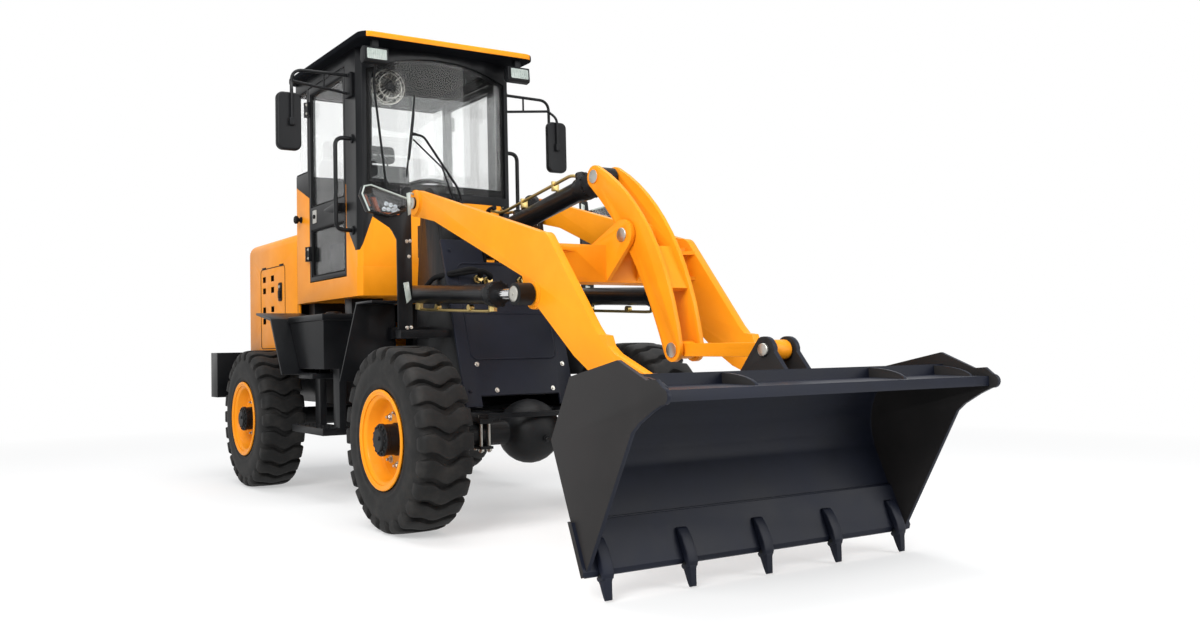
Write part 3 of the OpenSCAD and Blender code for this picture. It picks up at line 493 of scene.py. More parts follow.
# Rims turned from plate, a split lock ring, wheel nuts and the bolted planetary hub
rimSet = {
    "section": [(230, -120), (231, -112), (206, -102), (203, -60), (200, 0), (203, 60), (204, 112), (212, 121),
                (229, 127), (232, 132), (230, 137),
                (223, 139), (215, 136), (207, 126), (194, 121), (188, 113), (185, 62), (176, 50), (150, 46), (60,
                        46), (60, 32), (182, 32), (187, -100), (213, -120)],
    "lockRing": [(206, 123), (216, 124), (219, 130), (215, 135), (207, 133)],
    "hub": [(20, 76), (58, 76), (63, 71), (116, 71), (119, 75), (132, 75), (135, 72), (137, 53), (146, 51),
            (149.5, 46)],
    "nuts": 10, "nutCircle": 122, "hubBolts": 14, "hubCircle": 63,
}


def makeWheel(corner, s):
    node = "wheel_" + corner
    sign = wheelPlace[corner][1]
    out = (0, sign, 0)

    def turned(bm, profile, slot, loop, sides=72, start=0.0, sweep=360.0):
        rings = []
        for k in range(sides + (0 if loop else 1)):
            a = math.radians(start + sweep * k / sides)
            rings.append([wheelPoint(corner, r * math.cos(a), r * math.sin(a), z) for r, z in profile])
        addRings(bm, rings, slot, loop)

    bm = bmesh.new()
    turned(bm, s["section"], 0, True)
    turned(bm, s["lockRing"], 0, False, 64, 40, 356)
    for k in range(s["nuts"]):
        a = 2 * math.pi * (k + 0.5) / s["nuts"]
        place = wheelPoint(corner, s["nutCircle"] * math.cos(a), s["nutCircle"] * math.sin(a), 46)
        addBolt(bm, place, out, 13, 1)
        addTurned(bm, [(10, 7), (24, 7), (26, 5)], place, out, 10, 1)
    finishPiece(node + "_rim", bodyOf(node), bm, ["sprayedEnamelYellow", "zincPlatedTurned"], [node])
    bm = bmesh.new()
    addTurned(bm, s["hub"], wheelPoint(corner, 0, 0, 0), out, 56, 0)
    for k in range(s["hubBolts"]):
        a = 2 * math.pi * k / s["hubBolts"]
        addBolt(bm, wheelPoint(corner, s["hubCircle"] * math.cos(a), s["hubCircle"] * math.sin(a), 135), out, 6.5,
                0)
    addBolt(bm, wheelPoint(corner, 22, 10, 148), out, 9, 0)
    finishPiece(node + "_hub", bodyOf(node), bm, ["castIronPainted"], [node])


for corner in wheelPlace:
    makeTyre(corner, tyreSet)
    makeWheel(corner, rimSet)
print("stage: wheels made")

rearBody, frontBody = bodyOf("rear_frame"), bodyOf("front_frame")
sides = ((-1, "right"), (1, "left"))

# Handrails: one bent tube a side with a flange at each end
railSet = {"x": 30, "wall": 498, "out": 600, "top": 2040, "foot": 1520, "tube": 12, "bend": 75}


def makeHandrails(s):
    bm = bmesh.new()
    for g in (-1, 1):
        corners = (("wall", "top"), ("out", "top"), ("out", "foot"), ("wall", "foot"))
        path = [(s["x"], g * s[y], s[z]) for y, z in corners]
        addTube(bm, bentPath(path, s["bend"], 8), s["tube"], 16)
        for z in (s["top"], s["foot"]):
            addTurned(bm, [(0, 26), (8, 26), (10, 22)], (s["x"], g * s["wall"], z), (0, g, 0), 24)
    finishPiece("grabRails", rearBody, bm, ["sprayedEnamelBlack"], ["handrails"])


makeHandrails(railSet)

# Mirrors: bent tube arms with a tie bar, rounded housing, silvered glass towards the rear
mirrorSet = {"x": 20, "wall": 500, "out": 850, "top": 2402, "low": 2296, "foot": 1962,
             "head": (810, 1940, 950, 2258), "tie": 660}


def makeMirrors(s):
    bm = bmesh.new()
    for g in (-1, 1):
        x = s["x"]
        addTube(bm, bentPath([(x, g * s["wall"], s["top"]), (x, g * s["out"], s["top"] - 4),
                              (x, g * s["out"], s["foot"])], 70, 8), 9, 14)
        addTube(bm, [(x, g * s["wall"], s["low"]), (x, g * (s["out"] + 4), s["low"] + 38)], 8, 12)
        addTube(bm, [(x, g * s["tie"], s["low"] + 16), (x, g * s["tie"], s["top"] - 1)], 6, 10)
        addBlock(bm, (-22, g * 500, 2276), (62, g * 520, 2416), 5)
        for z in (2292, 2400):
            addBolt(bm, (48, g * 520, z), (0, g, 0), 7, 0)
        a0, b0, a1, b1 = s["head"]
        shell = [(30, g * a, b) for a, b in roundRect(a0, b0, a1, b1, 36, 6)]
        addPlate(bm, shell, (42, 0, 0), 13, 0, 4, 60)
        glassOutline = [(28, g * a, b) for a, b in roundRect(a0 + 12, b0 + 12, a1 - 12, b1 - 12, 28, 6)]
        addPlate(bm, glassOutline, (4, 0, 0), 0.8, 1, 1, 60)
        mid, y = 75, g * (s["out"] + 20)  # end of the arm over the housing's back, clamped at its middle
        addTube(bm, bentPath([(x, g * s["out"], 2330), (mid + 8, y, 2276), (mid + 8, y, 2104)], 40, 6), 8, 12)
        addBlock(bm, (mid - 6, y - g * 16, 2072), (mid + 18, y + g * 16, 2116), 5)
    finishPiece("rearMirrors", rearBody, bm, ["absPlasticGrained", "mirrorSilvered"], ["mirrors"])


makeMirrors(mirrorSet)

# Roof work lamps with fluted lenses, tail lamps in the hood's rear face
workLampSet = {
    "side": [(238, 2432), (262, 2408), (294, 2414), (299, 2426), (293, 2500), (270, 2506), (244, 2492)],
    "y": (385, 535), "lens": (393, 527, 2422, 2496), "stem": ((250, 440, 2498), (284, 480, 2544)), "tailX": -1880,
}


def makeWorkLamps(s):
    bm = bmesh.new()
    for g in (-1, 1):
        y0, y1 = s["y"]
        addPlate(bm, [(x, g * y0, z) for x, z in s["side"]], (0, g * (y1 - y0), 0), 5, 0, 3)
        a0, a1, z0, z1 = s["lens"]
        lensX = lambda z: 300.5 - (z - 2426) * 0.08
        rim = [(lensX(z) - 1, g * y, z) for y, z in roundRect(a0, z0, a1, z1, 9, 3)]
        addPlate(bm, rim, (5, 0, 0), 1.5, 0)
        face = [(lensX(z) + 2, g * y, z) for y, z in roundRect(a0 + 8, z0 + 8, a1 - 8, z1 - 8, 5, 3)]
        addPlate(bm, face, (4, 0, 0), 1, 1)
        for k in range(9):  # flutes of the lens
            y = a0 + 16 + k * (a1 - a0 - 32) / 8
            addTube(bm, [(lensX(z0 + 14) + 5, g * y, z0 + 14), (lensX(z1 - 14) + 5, g * y, z1 - 14)], 4, 8, 1)
        addBlock(bm, *[(x, g * y, z) for x, y, z in s["stem"]], 4)
        for y in (395, 525):
            addBolt(bm, (262, g * y, 2470), (0, -g if y == 395 else g, 0), 7, 2)
        x = s["tailX"]
        addBlock(bm, (x - 7, g * 366, 1276), (x + 2, g * 454, 1414), 3)
        addBlock(bm, (x - 14, g * 374, 1348), (x - 4, g * 446, 1406), 5, 3, 3)
        addBlock(bm, (x - 14, g * 374, 1284), (x - 4, g * 446, 1342), 5, 4, 3)
    finishPiece("workAndTailLamps", rearBody, bm, ["absPlasticGrained", "acrylicWhite", "zincPlatedTurned",
                                                   "acrylicRed", "acrylicAmber"], ["work_lamps"])


makeWorkLamps(workLampSet)

# Head lamps: faceted housing on a bent bracket plate, clear cover over reflector bowls and an amber turn light
headLampSet = {
    "bracket": [(515, 940), (595, 940), (595, 1385), (626, 1440), (720, 1494), (720, 1515), (580, 1515),
                (566, 1636), (548, 1652), (515, 1652)],
    "lamp": [(560, 1520), (650, 1492), (762, 1512), (800, 1596), (788, 1634), (752, 1642), (556, 1586)],
    "back": 755, "front": 850, "plateX": (790, 804),
    "bowls": [(664, 1556), (640, 1550), (616, 1544), (676, 1530), (652, 1528), (628, 1526),
              (604, 1524)], "bowl": 10,
    "ambers": [[(784, 1592), (769, 1593), (746, 1540), (762, 1532)],
               [(743, 1584), (721, 1583), (694, 1512), (706, 1504)],
               [(706, 1505), (694, 1513), (596, 1512), (594, 1504)]],
    "reflectors": [[(542, 1617), (519, 1626), (518, 1515), (535, 1506)],
                   [(566, 1172), (537, 1178), (523, 1093), (549, 1070)]],
    "bolts": [(543, 1378), (524, 1381), (532, 1303), (548, 951), (524, 953)],
}


def inset(points, share):
    cy = sum(p[0] for p in points) / len(points)
    cz = sum(p[1] for p in points) / len(points)
    return [(cy + (y - cy) * share, cz + (z - cz) * share) for y, z in points]


def makeHeadLamps(s):
    bm = bmesh.new()
    for g in (-1, 1):
        x0, x1 = s["plateX"]
        addPlate(bm, [(x0, g * y, z) for y, z in s["bracket"]], (x1 - x0, 0, 0), 3, 0)
        b, f = s["back"], s["front"]
        outlineAt = lambda x, share: [(x, g * y, z) for y, z in inset(s["lamp"], share)]
        addRings(bm, [outlineAt(b, 0.62), outlineAt(b + 30, 0.92), outlineAt(b + 52, 1), outlineAt(f - 14, 1),
                      outlineAt(f - 9, 0.97), outlineAt(f - 9, 0.86), outlineAt(f - 34, 0.80)], 1)
        addPlate(bm, outlineAt(f - 10, 0.975), (7, 0, 0), 3, 2, 3)
        addTube(bm, outlineAt(f - 5, 0.97)[:1:-1], 4.5, 8, 5)  # painted highlight: a bright moulded edge tube along the lamp's top and outside
        for y, z in s["bowls"]:
            r = s["bowl"]
            addTurned(bm, [(0, r - 2), (12, r), (12, r - 3), (4, 5), (3, 3)], (f - 32, g * y, z), (1, 0, 0), 18, 3)
        for outline in s["ambers"]:
            addPlate(bm, [(f - 33, g * y, z) for y, z in outline], (16, 0, 0), 2, 4)
        for plate in s["reflectors"]:
            addPlate(bm, [(803, g * y, z) for y, z in plate], (5, 0, 0), 1.5, 5)
        for y, z in s["bolts"]:
            addBolt(bm, (804, g * y, z), (1, 0, 0), 6, 6)
        addTube(bm, bentPath([(770, g * 640, 1500), (765, g * 610, 1440), (782, g * 560, 1390),
                              (784, g * 555, 1100), (770, g * 520, 960)], 50), 6, 10, 7)
    finishPiece("headLampSets", frontBody, bm, ["sprayedEnamelBlack", "absPlasticGrained", "polycarbonateClear",
                                                "mirrorSilvered", "acrylicAmber",
                                               "acrylicWhite", "zincPlatedTurned", "rubberExtruded"], ["headlamps"])


makeHeadLamps(headLampSet)
print("stage: rails, mirrors and lamps made")


# Cylinders: chromed rods with painted eyes and turned pin heads, castellated gland nuts
def lineFrame(a, b):  # unit vectors along and across a line in the XZ plane
    d = Vector((b[0] - a[0], 0, b[1] - a[1]))
    return d.normalized(), Vector((0, 1, 0)).cross(d.normalized()), d.length


def addGland(bm, centre, along, radius, length, slot):
    addTurned(bm, [(0, radius - 6), (2, radius), (length - 12, radius), (length - 10, radius - 3),
                   (length, radius - 3)], centre, along, 40, slot)
    side = along.orthogonal().normalized()
    up = along.cross(side)
    for k in range(10):  # castellations for the hook spanner
        a = 2 * math.pi * k / 10
        out = side * math.cos(a) + up * math.sin(a)
        across = along.cross(out)
        c = centre + along * (length - 11)
        ring = [c + out * (radius + d) + across * w for d, w in ((-8, 7), (-8, -7), (3, -6), (3, 6))]
        addRings(bm, [ring, [p + along * 13 for p in ring]], slot)


liftSet = {"base": (660, 1125), "eye": (1717, 1066), "y": 455, "rod": 25, "eyeR": 48, "show": 140}
liftAlong, liftUp, liftLen = lineFrame(liftSet["base"], liftSet["eye"])


def makeLiftRods(s):
    for g, name in sides:
        base = Vector((s["base"][0], g * s["y"], s["base"][1]))
        barrelEnd = liftLen - s["eyeR"] - s["show"]
        bm = bmesh.new()
        addTurned(bm, [(240, s["rod"]), (liftLen - 40, s["rod"])], base, liftAlong, 40, 0)
        eye = base + liftAlong * liftLen
        out = Vector((0, g, 0))
        addTurned(bm, [(-40, 42), (-37, 48), (37, 48), (40, 42)], eye, out, 40, 1)
        addTurned(bm, [(liftLen - 62, 30), (liftLen - 36, 38)], base, liftAlong, 32, 1)
        addTurned(bm, [(38, 34), (44, 34), (47, 30), (49, 16)], eye, out, 32, 2)
        addTurned(bm, [(46, 8), (51, 7)], eye, out, 12, 2)
        finishPiece("liftRod_" + name, bodyOf("lift_rod_" + name), bm,
                    ["hardChromeGround", "castIronPainted", "zincPlatedTurned"], ["lift_rod_" + name])
        bm = bmesh.new()
        addGland(bm, base + liftAlong * (barrelEnd - 44), liftAlong, 57, 46, 0)
        addTurned(bm, [(-5, 36), (0, 38)], base + out * 44, out, 32, 1)
        # steel pipe under the barrel with a banjo block at each end
        sign = -1 if liftUp.z < 0 else 1
        drop = lambda t, d: base + liftAlong * t - liftUp * (d * sign)
        pipe = [drop(96, 46), drop(100, 74), drop(150, 76),
                drop(barrelEnd - 110, 76), drop(barrelEnd - 70, 74), drop(barrelEnd - 40, 52)]
        addTube(bm, bentPath(pipe, 34), 7.5, 12, 2)
        for t in (100, barrelEnd - 52):
            addTurned(bm, [(0, 20), (34, 20)], drop(t, 42), liftUp * -sign, 6, 2)
        for t in (300, 620):
            c = drop(t, 62)
            addTurned(bm, [(-12, 15), (12, 15)], c, (0, 1, 0), 14, 2)
        finishPiece("liftGland_" + name, bodyOf("lift_barrel_" + name), bm,
                    ["castIronPainted", "zincPlatedTurned", "zincPassivatedGold"])


makeLiftRods(liftSet)

tiltSet = {"base": (660, 1423), "eye": (1714, 1592), "rod": 25, "eyeR": 44, "show": 64}
tiltAlong, tiltUp, tiltLen = lineFrame(tiltSet["base"], tiltSet["eye"])


def makeTiltRod(s):
    base = Vector((s["base"][0], 0, s["base"][1]))
    barrelEnd = tiltLen - s["eyeR"] - s["show"]
    bm = bmesh.new()
    addTurned(bm, [(120, s["rod"]), (tiltLen - 36, s["rod"])], base, tiltAlong, 40, 0)
    eye = base + tiltAlong * tiltLen
    addTurned(bm, [(-38, 39), (-35, 44), (35, 44), (38, 39)], eye, (0, 1, 0), 40, 1)
    addTurned(bm, [(tiltLen - 58, 29), (tiltLen - 34, 36)], base, tiltAlong, 32, 1)
    finishPiece("tiltRodChromed", bodyOf("tilt_rod"), bm, ["hardChromeGround", "castIronPainted"], ["tilt_rod"])
    bm = bmesh.new()
    addGland(bm, base + tiltAlong * (barrelEnd - 44), tiltAlong, 60, 46, 0)
    sign = 1 if tiltUp.z > 0 else -1
    rise = lambda t, d, y: base + tiltAlong * t + tiltUp * (d * sign) + Vector((0, y, 0))
    for y, end in ((-22, barrelEnd - 50), (22, 110)):
        pipe = [rise(150, 118, y * 1.6), rise(190, 92, y * 1.3), rise(240, 82, y),
                rise(max(end - 60, 250), 80, y), rise(max(end, 300), 50, y * 0.8)]
        addTube(bm, bentPath(pipe, 40), 8, 12, 1)
        addTurned(bm, [(0, 15), (30, 15)], rise(160, 112, y * 1.55), pipe[0] - pipe[1], 6, 1)
    addTurned(bm, [(0, 24), (30, 24), (32, 20)], rise(300, 42, 18), tiltUp * sign, 6, 0)
    addTurned(bm, [(0, 24), (24, 24), (26, 20)], rise(barrelEnd - 50, 46, -18), tiltUp * sign, 6, 0)
    for t in (420, 700):
        addBlock(bm, rise(t - 9, 50, -36), rise(t + 9, 96, 4), 3, 1)
    finishPiece("tiltGlandAndPipes", bodyOf("tilt_barrel"), bm, ["castIronPainted", "zincPassivatedGold"])


makeTiltRod(tiltSet)

steerSet = {"base": (-560, 130), "eye": (100, 200), "z": 745}


def makeSteerRods(s):
    for g, name in sides:
        base = Vector((s["base"][0], g * s["base"][1], s["z"]))
        eye = Vector((s["eye"][0], g * s["eye"][1], s["z"]))
        along = (eye - base).normalized()
        length = (eye - base).length
        bm = bmesh.new()
        addTurned(bm, [(210, 18), (length - 30, 18)], base, along, 32, 0)
        addTurned(bm, [(-30, 32), (-27, 36), (27, 36), (30, 32)], eye, (0, 0, 1), 36, 1)
        addTurned(bm, [(30, 20), (36, 20)], eye, (0, 0, 1), 24, 2)
        finishPiece("steerRod_" + name, bodyOf("steer_rod_" + name), bm,
                    ["hardChromeGround", "castIronPainted", "zincPlatedTurned"], ["steer_rod_" + name])
        bm = bmesh.new()
        addGland(bm, base + along * 446, along, 34, 34, 0)
        pipe = [base + along * d + Vector((0, 0, up)) for d, up in ((70, 34), (72, 58), (400, 58), (424, 36))]
        addTube(bm, bentPath(pipe, 22), 6, 10, 1)
        finishPiece("steerGland_" + name, bodyOf("steer_barrel_" + name), bm,
                    ["castIronPainted", "zincPassivatedGold"])


makeSteerRods(steerSet)
print("stage: cylinders made")

# Front cover: pressed panel outline, crease, bolts, and the hoses that come out over it
coverSet = {"top": (735, 1400), "foot": (985, 520),
            "bolts": [(60, -285), (60, 285), (300, -285), (300, 285), (665, -228), (673, 282), (801, -136),
                      (801, 198), (801, -290), (801, 290)]}
coverAlong, coverOut = lineFrame(coverSet["top"], coverSet["foot"])[:2]
coverOut = coverOut if coverOut.x > 0 else -coverOut


def makeCoverTrim(s):
    bm = bmesh.new()
    point = lambda t, y, d=15.3: Vector((s["top"][0], y, s["top"][1])) + coverAlong * t + coverOut * d
    for t, y in s["bolts"]:
        bright = t > 650 and abs(y) < 285  # the four zinc ones low on the cover, the others painted over
        addBolt(bm, point(t, y), coverOut, 8, 0 if bright else 1)
    panel = [point(t, y, 14.6) for t, y in roundRect(130, -255, 640, 255, 40, 5)]
    addTube(bm, panel, 5, 8, 1, loop=True)
    addTube(bm, [point(400, -254, 14), point(400, 254, 14)], 4, 8, 1)
    # hoses from the valve over the cover to the lift and tilt cylinders
    for y, t in ((-150, 215), (-95, 225), (110, 220)):
        addTurned(bm, [(-4, 22), (10, 22), (12, 17), (40, 17)], point(t, y), coverOut + coverAlong * 0.2, 6, 2)
        turn = -1 if y < 0 else 1
        path = [point(t, y, 30), point(t - 6, y, 74), point(t - 30, y + turn * 60, 96),
                point(t - 20, turn * 290, 60), (700, turn * 345, 1210), (668, turn * 372, 1160)]
        addTube(bm, bentPath(path, 60, 6), 13, 12, 3)
    for y in (-40, 36):
        path = [(700, y, 1290), (716, y * 1.2, 1420), (720, y * 1.3, 1500), (760, y * 1.1, 1566),
                (812, y * 0.9, 1572)]
        addTube(bm, bentPath(path, 60, 6), 13, 12, 3)
    finishPiece("coverBoltsAndHoses", frontBody, bm,
                ["zincPlatedTurned", "blueBlackPaintedSheenAndShade", "zincPassivatedGold", "rubberExtruded"])


makeCoverTrim(coverSet)

# Pin heads, axle clamps with their studs, drain plug
pinSet = {"boom": (620, 1600, 418), "lift": (660, 1125, 505), "studsX": (975, 1105), "studY": (268, 312)}


def makeFrontFittings(s):
    bm = bmesh.new()
    for g in (-1, 1):
        for x, z, y in (s["boom"], s["lift"]):
            addTurned(bm, [(-4, 29), (4, 29), (6, 25)], (x, g * y, z), (0, g, 0), 32, 0)
            addTurned(bm, [(5, 7), (11, 6)], (x, g * y, z), (0, g, 0), 10, 0)
        for x in s["studsX"]:
            for y in s["studY"]:
                addTurned(bm, [(0, 8), (170, 8)], (x, g * y, 346), (0, 0, 1), 12, 0)
                addTurned(bm, [(0, 14), (12, 14)], (x, g * y, 352), (0, 0, 1), 6, 0)
                addTurned(bm, [(0, 14), (12, 14)], (x, g * y, 511), (0, 0, 1), 6, 0)
        addBlock(bm, (955, g * 255, 362), (1125, g * 325, 376), 3, 1)
    addBolt(bm, (1198, 0, 400), (1, 0, -0.2), 12, 1)
    finishPiece("pinHeadsAndClamps", frontBody, bm, ["zincPlatedTurned", "castIronPainted"])


makeFrontFittings(pinSet)
print("stage: front fittings made")

# Boom: rippled weld beads at the cross tube and the pin bosses, grease nipples
boomSet = {
    "tube": (1745, 1195, 160), "arm": 360, "bead": 6,
    "bosses": [(620, 1600, 66, 46), (1717, 1066, 54, 40)],  # place, bead's radius, nipple's height
}


def addBead(bm, a, b, r, slot):  # weld bead with the ripples of its runs, 7 mm apart
    a, b = Vector(a), Vector(b)
    n = max(4, int((b - a).length / 3.5))
    run, swell = [a.lerp(b, k / n) for k in range(n + 1)], [r * (1.0 if k % 2 else 0.82) for k in range(n + 1)]
    addTube(bm, run, swell, 8, slot)


def makeBoomWelds(s):
    bm = bmesh.new()
    x, z, a = s["tube"]
    h = a / 2
    for g in (-1, 1):
        y = g * (s["arm"] - 1)
        square = [(x - h, y, z - h), (x + h, y, z - h), (x + h, y, z + h), (x - h, y, z + h)]
        for p, q in zip(square, square[1:] + square[:1]):
            addBead(bm, p, q, s["bead"], 0)
        for e in (71, 91):
            addBead(bm, (1690, g * e, z + h), (1790, g * e, z + h), 5, 0)
        for px, pz, r, nipple in s["bosses"]:
            ring = [(px + r * math.cos(t), g * 401, pz + r * math.sin(t)) for t in turns(40)]
            addTube(bm, ring, [5 if k % 2 else 4 for k in range(40)], 8, 0, loop=True)
            addTurned(bm, [(0, 6), (8, 6), (8, 4), (16, 4), (18, 2.5)],
                      (px, g * 408, pz + nipple), (0, g, 0.4), 8, 1)
    finishPiece("boomWelds", bodyOf("boom"), bm, ["sprayedEnamelYellow", "zincPlatedTurned"])


makeBoomWelds(boomSet)

# Bucket: adapters with narrower curved teeth, weld seam over the cutting edge
bucketSet = {
    "pivot": (2426, 684), "tip": 68, "edge": (624, -70), "half": 794, "teeth": 5, "edgeLen": 190,
    "adapter": [(-124, 22.5), (-118, 36), (-84, 46), (-30, 49), (4, 44), (18, 34), (18, 2), (8, -2), (0.5, 2),
                (0.3, 22.5)],
    # rows of a tooth towards its tip: distance, half width, underside, top
    "tooth": [(2, 19, 3, 38), (20, 19, 4, 36), (26, 17, 3, 33), (50, 16, 2, 24), (70, 15.5, 3, 16), (79, 15, 4, 11),
              (81, 14, 5, 9)],
}


def tipped(x, z, y):  # bucket section with its floor level about its pivot, to the machine
    a = math.radians(bucketSet["tip"])
    px, pz = bucketSet["pivot"]
    return Vector((px + x * math.cos(a) + z * math.sin(a), y, pz - x * math.sin(a) + z * math.cos(a)))


def makeTeeth(s):
    bm = bmesh.new()
    ex, ez = s["edge"]
    for i in range(s["teeth"]):
        y = -s["half"] + 70 + i * (2 * s["half"] - 140) / (s["teeth"] - 1)
        addPlate(bm, [tipped(ex + x, ez + z, y - 23) for x, z in s["adapter"]], (0, 46, 0), 5, 0, 3)
        rings = []
        for x, w, z0, z1 in s["tooth"]:
            cheek = z0 + (z1 - z0) * 0.7
            section = ((-w, z0), (w, z0), (w, cheek), (w * 0.75, z1), (-w * 0.75, z1), (-w, cheek))
            rings.append([tipped(ex + x, ez + z, y + v) for v, z in section])
        addRings(bm, rings, 0)
        addTurned(bm, [(-24.5, 7), (24.5, 7)], tipped(ex + 2, ez + 22, y), (0, 1, 0), 12, 1)
    finishPiece("castTeeth", bodyOf("bucket_teeth"), bm, ["blueBlackPaintedSheenAndShade", "castIronPainted"],
                ["bucket_teeth"], angle=30)


def makeBucketWelds(s):
    bm = bmesh.new()
    ex, ez = s["edge"]
    y = s["half"] - 16
    addBead(bm, tipped(ex - s["edgeLen"] + 4, ez + 15, -y), tipped(ex - s["edgeLen"] + 4, ez + 15, y), 5, 0)
    for g in (-1, 1):
        arc = [tipped(275 + 256 * math.cos(math.radians(t)), 197 + 256 * math.sin(math.radians(t)),
                      g * y) for t in range(268, 190, -2)]
        addTube(bm, arc, [5 if k % 2 else 4 for k in range(len(arc))], 8, 0)
    finishPiece("bucketWelds", bodyOf("bucket"), bm, ["blueBlackPaintedSheenAndShade"])


makeTeeth(bucketSet)
makeBucketWelds(bucketSet)
print("stage: boom and bucket fittings made")

# Hood: shut lines of the side doors, flush latches, dark blocks behind the air holes as painted shade seen through
# them, hinge line of the top
hoodSet = {"wall": 490, "door": (-1630, 872, -1133, 1422), "latch": (-1225, 1248),
           "holes": (-1600, 1050, -1330, 1400)}


def makeHoodTrim(s):
    bm = bmesh.new()
    for g in (-1, 1):
        a0, b0, a1, b1 = s["door"]
        addTube(bm, [(a, g * s["wall"], b) for a, b in roundRect(a0, b0, a1, b1, 30, 5)], 3, 6, 0, loop=True)
        addTube(bm, [(-890, g * s["wall"], 860), (-890, g * s["wall"], 1520)], 3, 6, 0)
        lx, lz = s["latch"]
        addPlate(bm, [(a, g * (s["wall"] - 1), b) for a, b in roundRect(lx - 34, lz - 62, lx + 34, lz + 62, 14, 4)],
                 (0, g * 7, 0), 2.5, 0, 2, 60)
        addPlate(bm, [(a, g * (s["wall"] + 5), b) for a, b in roundRect(lx - 20, lz - 44, lx + 20, lz + 10, 10, 4)],
                 (0, g * 9, 0), 3, 0, 2, 60)
        addTurned(bm, [(0, 11), (6, 11), (7, 9)], (lx, g * (s["wall"] + 5), lz + 34), (0, g, 0), 20, 1)
        h0, k0, h1, k1 = s["holes"]
        # dark block behind the air holes: painted shade seen through them
        addBlock(bm, (h0, g * 452, k0), (h1, g * 462, k1), 2, 0)
        for hx in (-1560, -1200):
            addBlock(bm, (hx - 40, g * 466, 1418), (hx + 40, g * 493, 1434), 3, 0)
    addBlock(bm, (-1862, -335, 985), (-1852, 335, 1495), 2, 0)
    finishPiece("hoodTrim", rearBody, bm, ["rubberExtruded", "zincPlatedTurned"])


makeHoodTrim(hoodSet)

# Steps: chequered tread on the ledges and rungs, tank caps
stepSet = {"pads": [(-486, 56, 474, 696, 1050), (-316, -104, 484, 696, 720), (-436, 46, 524, 696, 420)],
           "pitch": 30}


def makeTread(s):
    bm = bmesh.new()
    for g in (-1, 1):
        for x0, x1, y0, y1, z in s["pads"]:
            nx, ny = int((x1 - x0) / s["pitch"]), int((y1 - y0) / s["pitch"])
            for i in range(nx):
                for k in range(ny):
                    cx, cy = x0 + (i + 0.5) * (x1 - x0) / nx, y0 + (k + 0.5) * (y1 - y0) / ny
                    dx, dy = (0.707, 0.707) if (i + k) % 2 else (0.707, -0.707)
                    reach = ((13 * dx, 13 * dy), (-4.5 * dy, 4.5 * dx), (-13 * dx, -13 * dy), (4.5 * dy, -4.5 * dx))
                    foot = [(cx + a, g * (cy + b)) for a, b in reach]
                    top = [(cx + (a - cx) * 0.6, g * cy + (b - g * cy) * 0.6) for a, b in foot]
                    addRings(bm, [[(a, b, z - 0.5) for a, b in foot], [(a, b, z + 2.6) for a, b in top]])
        addTurned(bm, [(0, 46), (14, 46), (18, 40), (20, 22)], (-120, g * 560, 1049), (0, 0, 1), 28, 0)
    finishPiece("stepTread", rearBody, bm, ["sprayedEnamelBlack"])


makeTread(stepSet)
print("stage: hood and steps trimmed")

# Doors: glazing rubber, lock plate, hinge knuckles
doorSet = {"x": (-617, -93), "z": (1728, 2435), "lowZ": (1300, 1592), "wall": 500, "lock": (-584, 1628, 1708)}


def makeDoorTrim(s):
    for g, name in sides:
        bm = bmesh.new()
        for z0, z1 in (s["z"], s["lowZ"]):
            loop = roundRect(s["x"][0] + 4, z0 + 4, s["x"][1] - 4, z1 - 4, 30, 5)
            addTube(bm, [(a, g * (s["wall"] - 10), b) for a, b in loop], 8, 8, 0, loop=True)
        a0, b0, b1 = s["lock"]
        addPlate(bm, [(a, g * (s["wall"] - 1), b) for a, b in roundRect(a0, b0, a0 + 62, b1, 5, 3)], (0, g * 5, 0),
                 1.5, 1, 2, 60)
        addTurned(bm, [(0, 13), (5, 13), (6, 11)], (a0 + 31, g * (s["wall"] + 4), (b0 + b1) / 2), (0, g, 0), 20, 0)
        for z in (1400, 2300):
            for k in (0, 1, 2):
                addTurned(bm, [(0, 13.5), (27, 13.5)], (-651, g * 514, z + k * 31.5), (0, 0, 1), 16, 2)
            for k in (18, 72):
                addBolt(bm, (-622, g * 520, z + k), (0, g, 0), 6, 1)
        finishPiece("doorTrim_" + name, bodyOf("door_" + name), bm,
                    ["rubberExtruded", "zincPlatedTurned", "sprayedEnamelBlack"])


makeDoorTrim(doorSet)

# Windscreen: printed edge band, wiper with its twin arm, slim rod beside the pillar
screenSet = {"sill": 1740, "half": 452, "top": 2426, "arch": 82, "band": 46, "side": 24, "pivot": (107, 1700),
             "x": 125, "bow": (55, 478)}


def screenPoint(y, z, t=0):  # on the bowed screen, t mm into the cab
    deep, half = screenSet["bow"]
    return Vector((screenSet["x"] - t + deep * (1 - (y / half) ** 2), y, z))


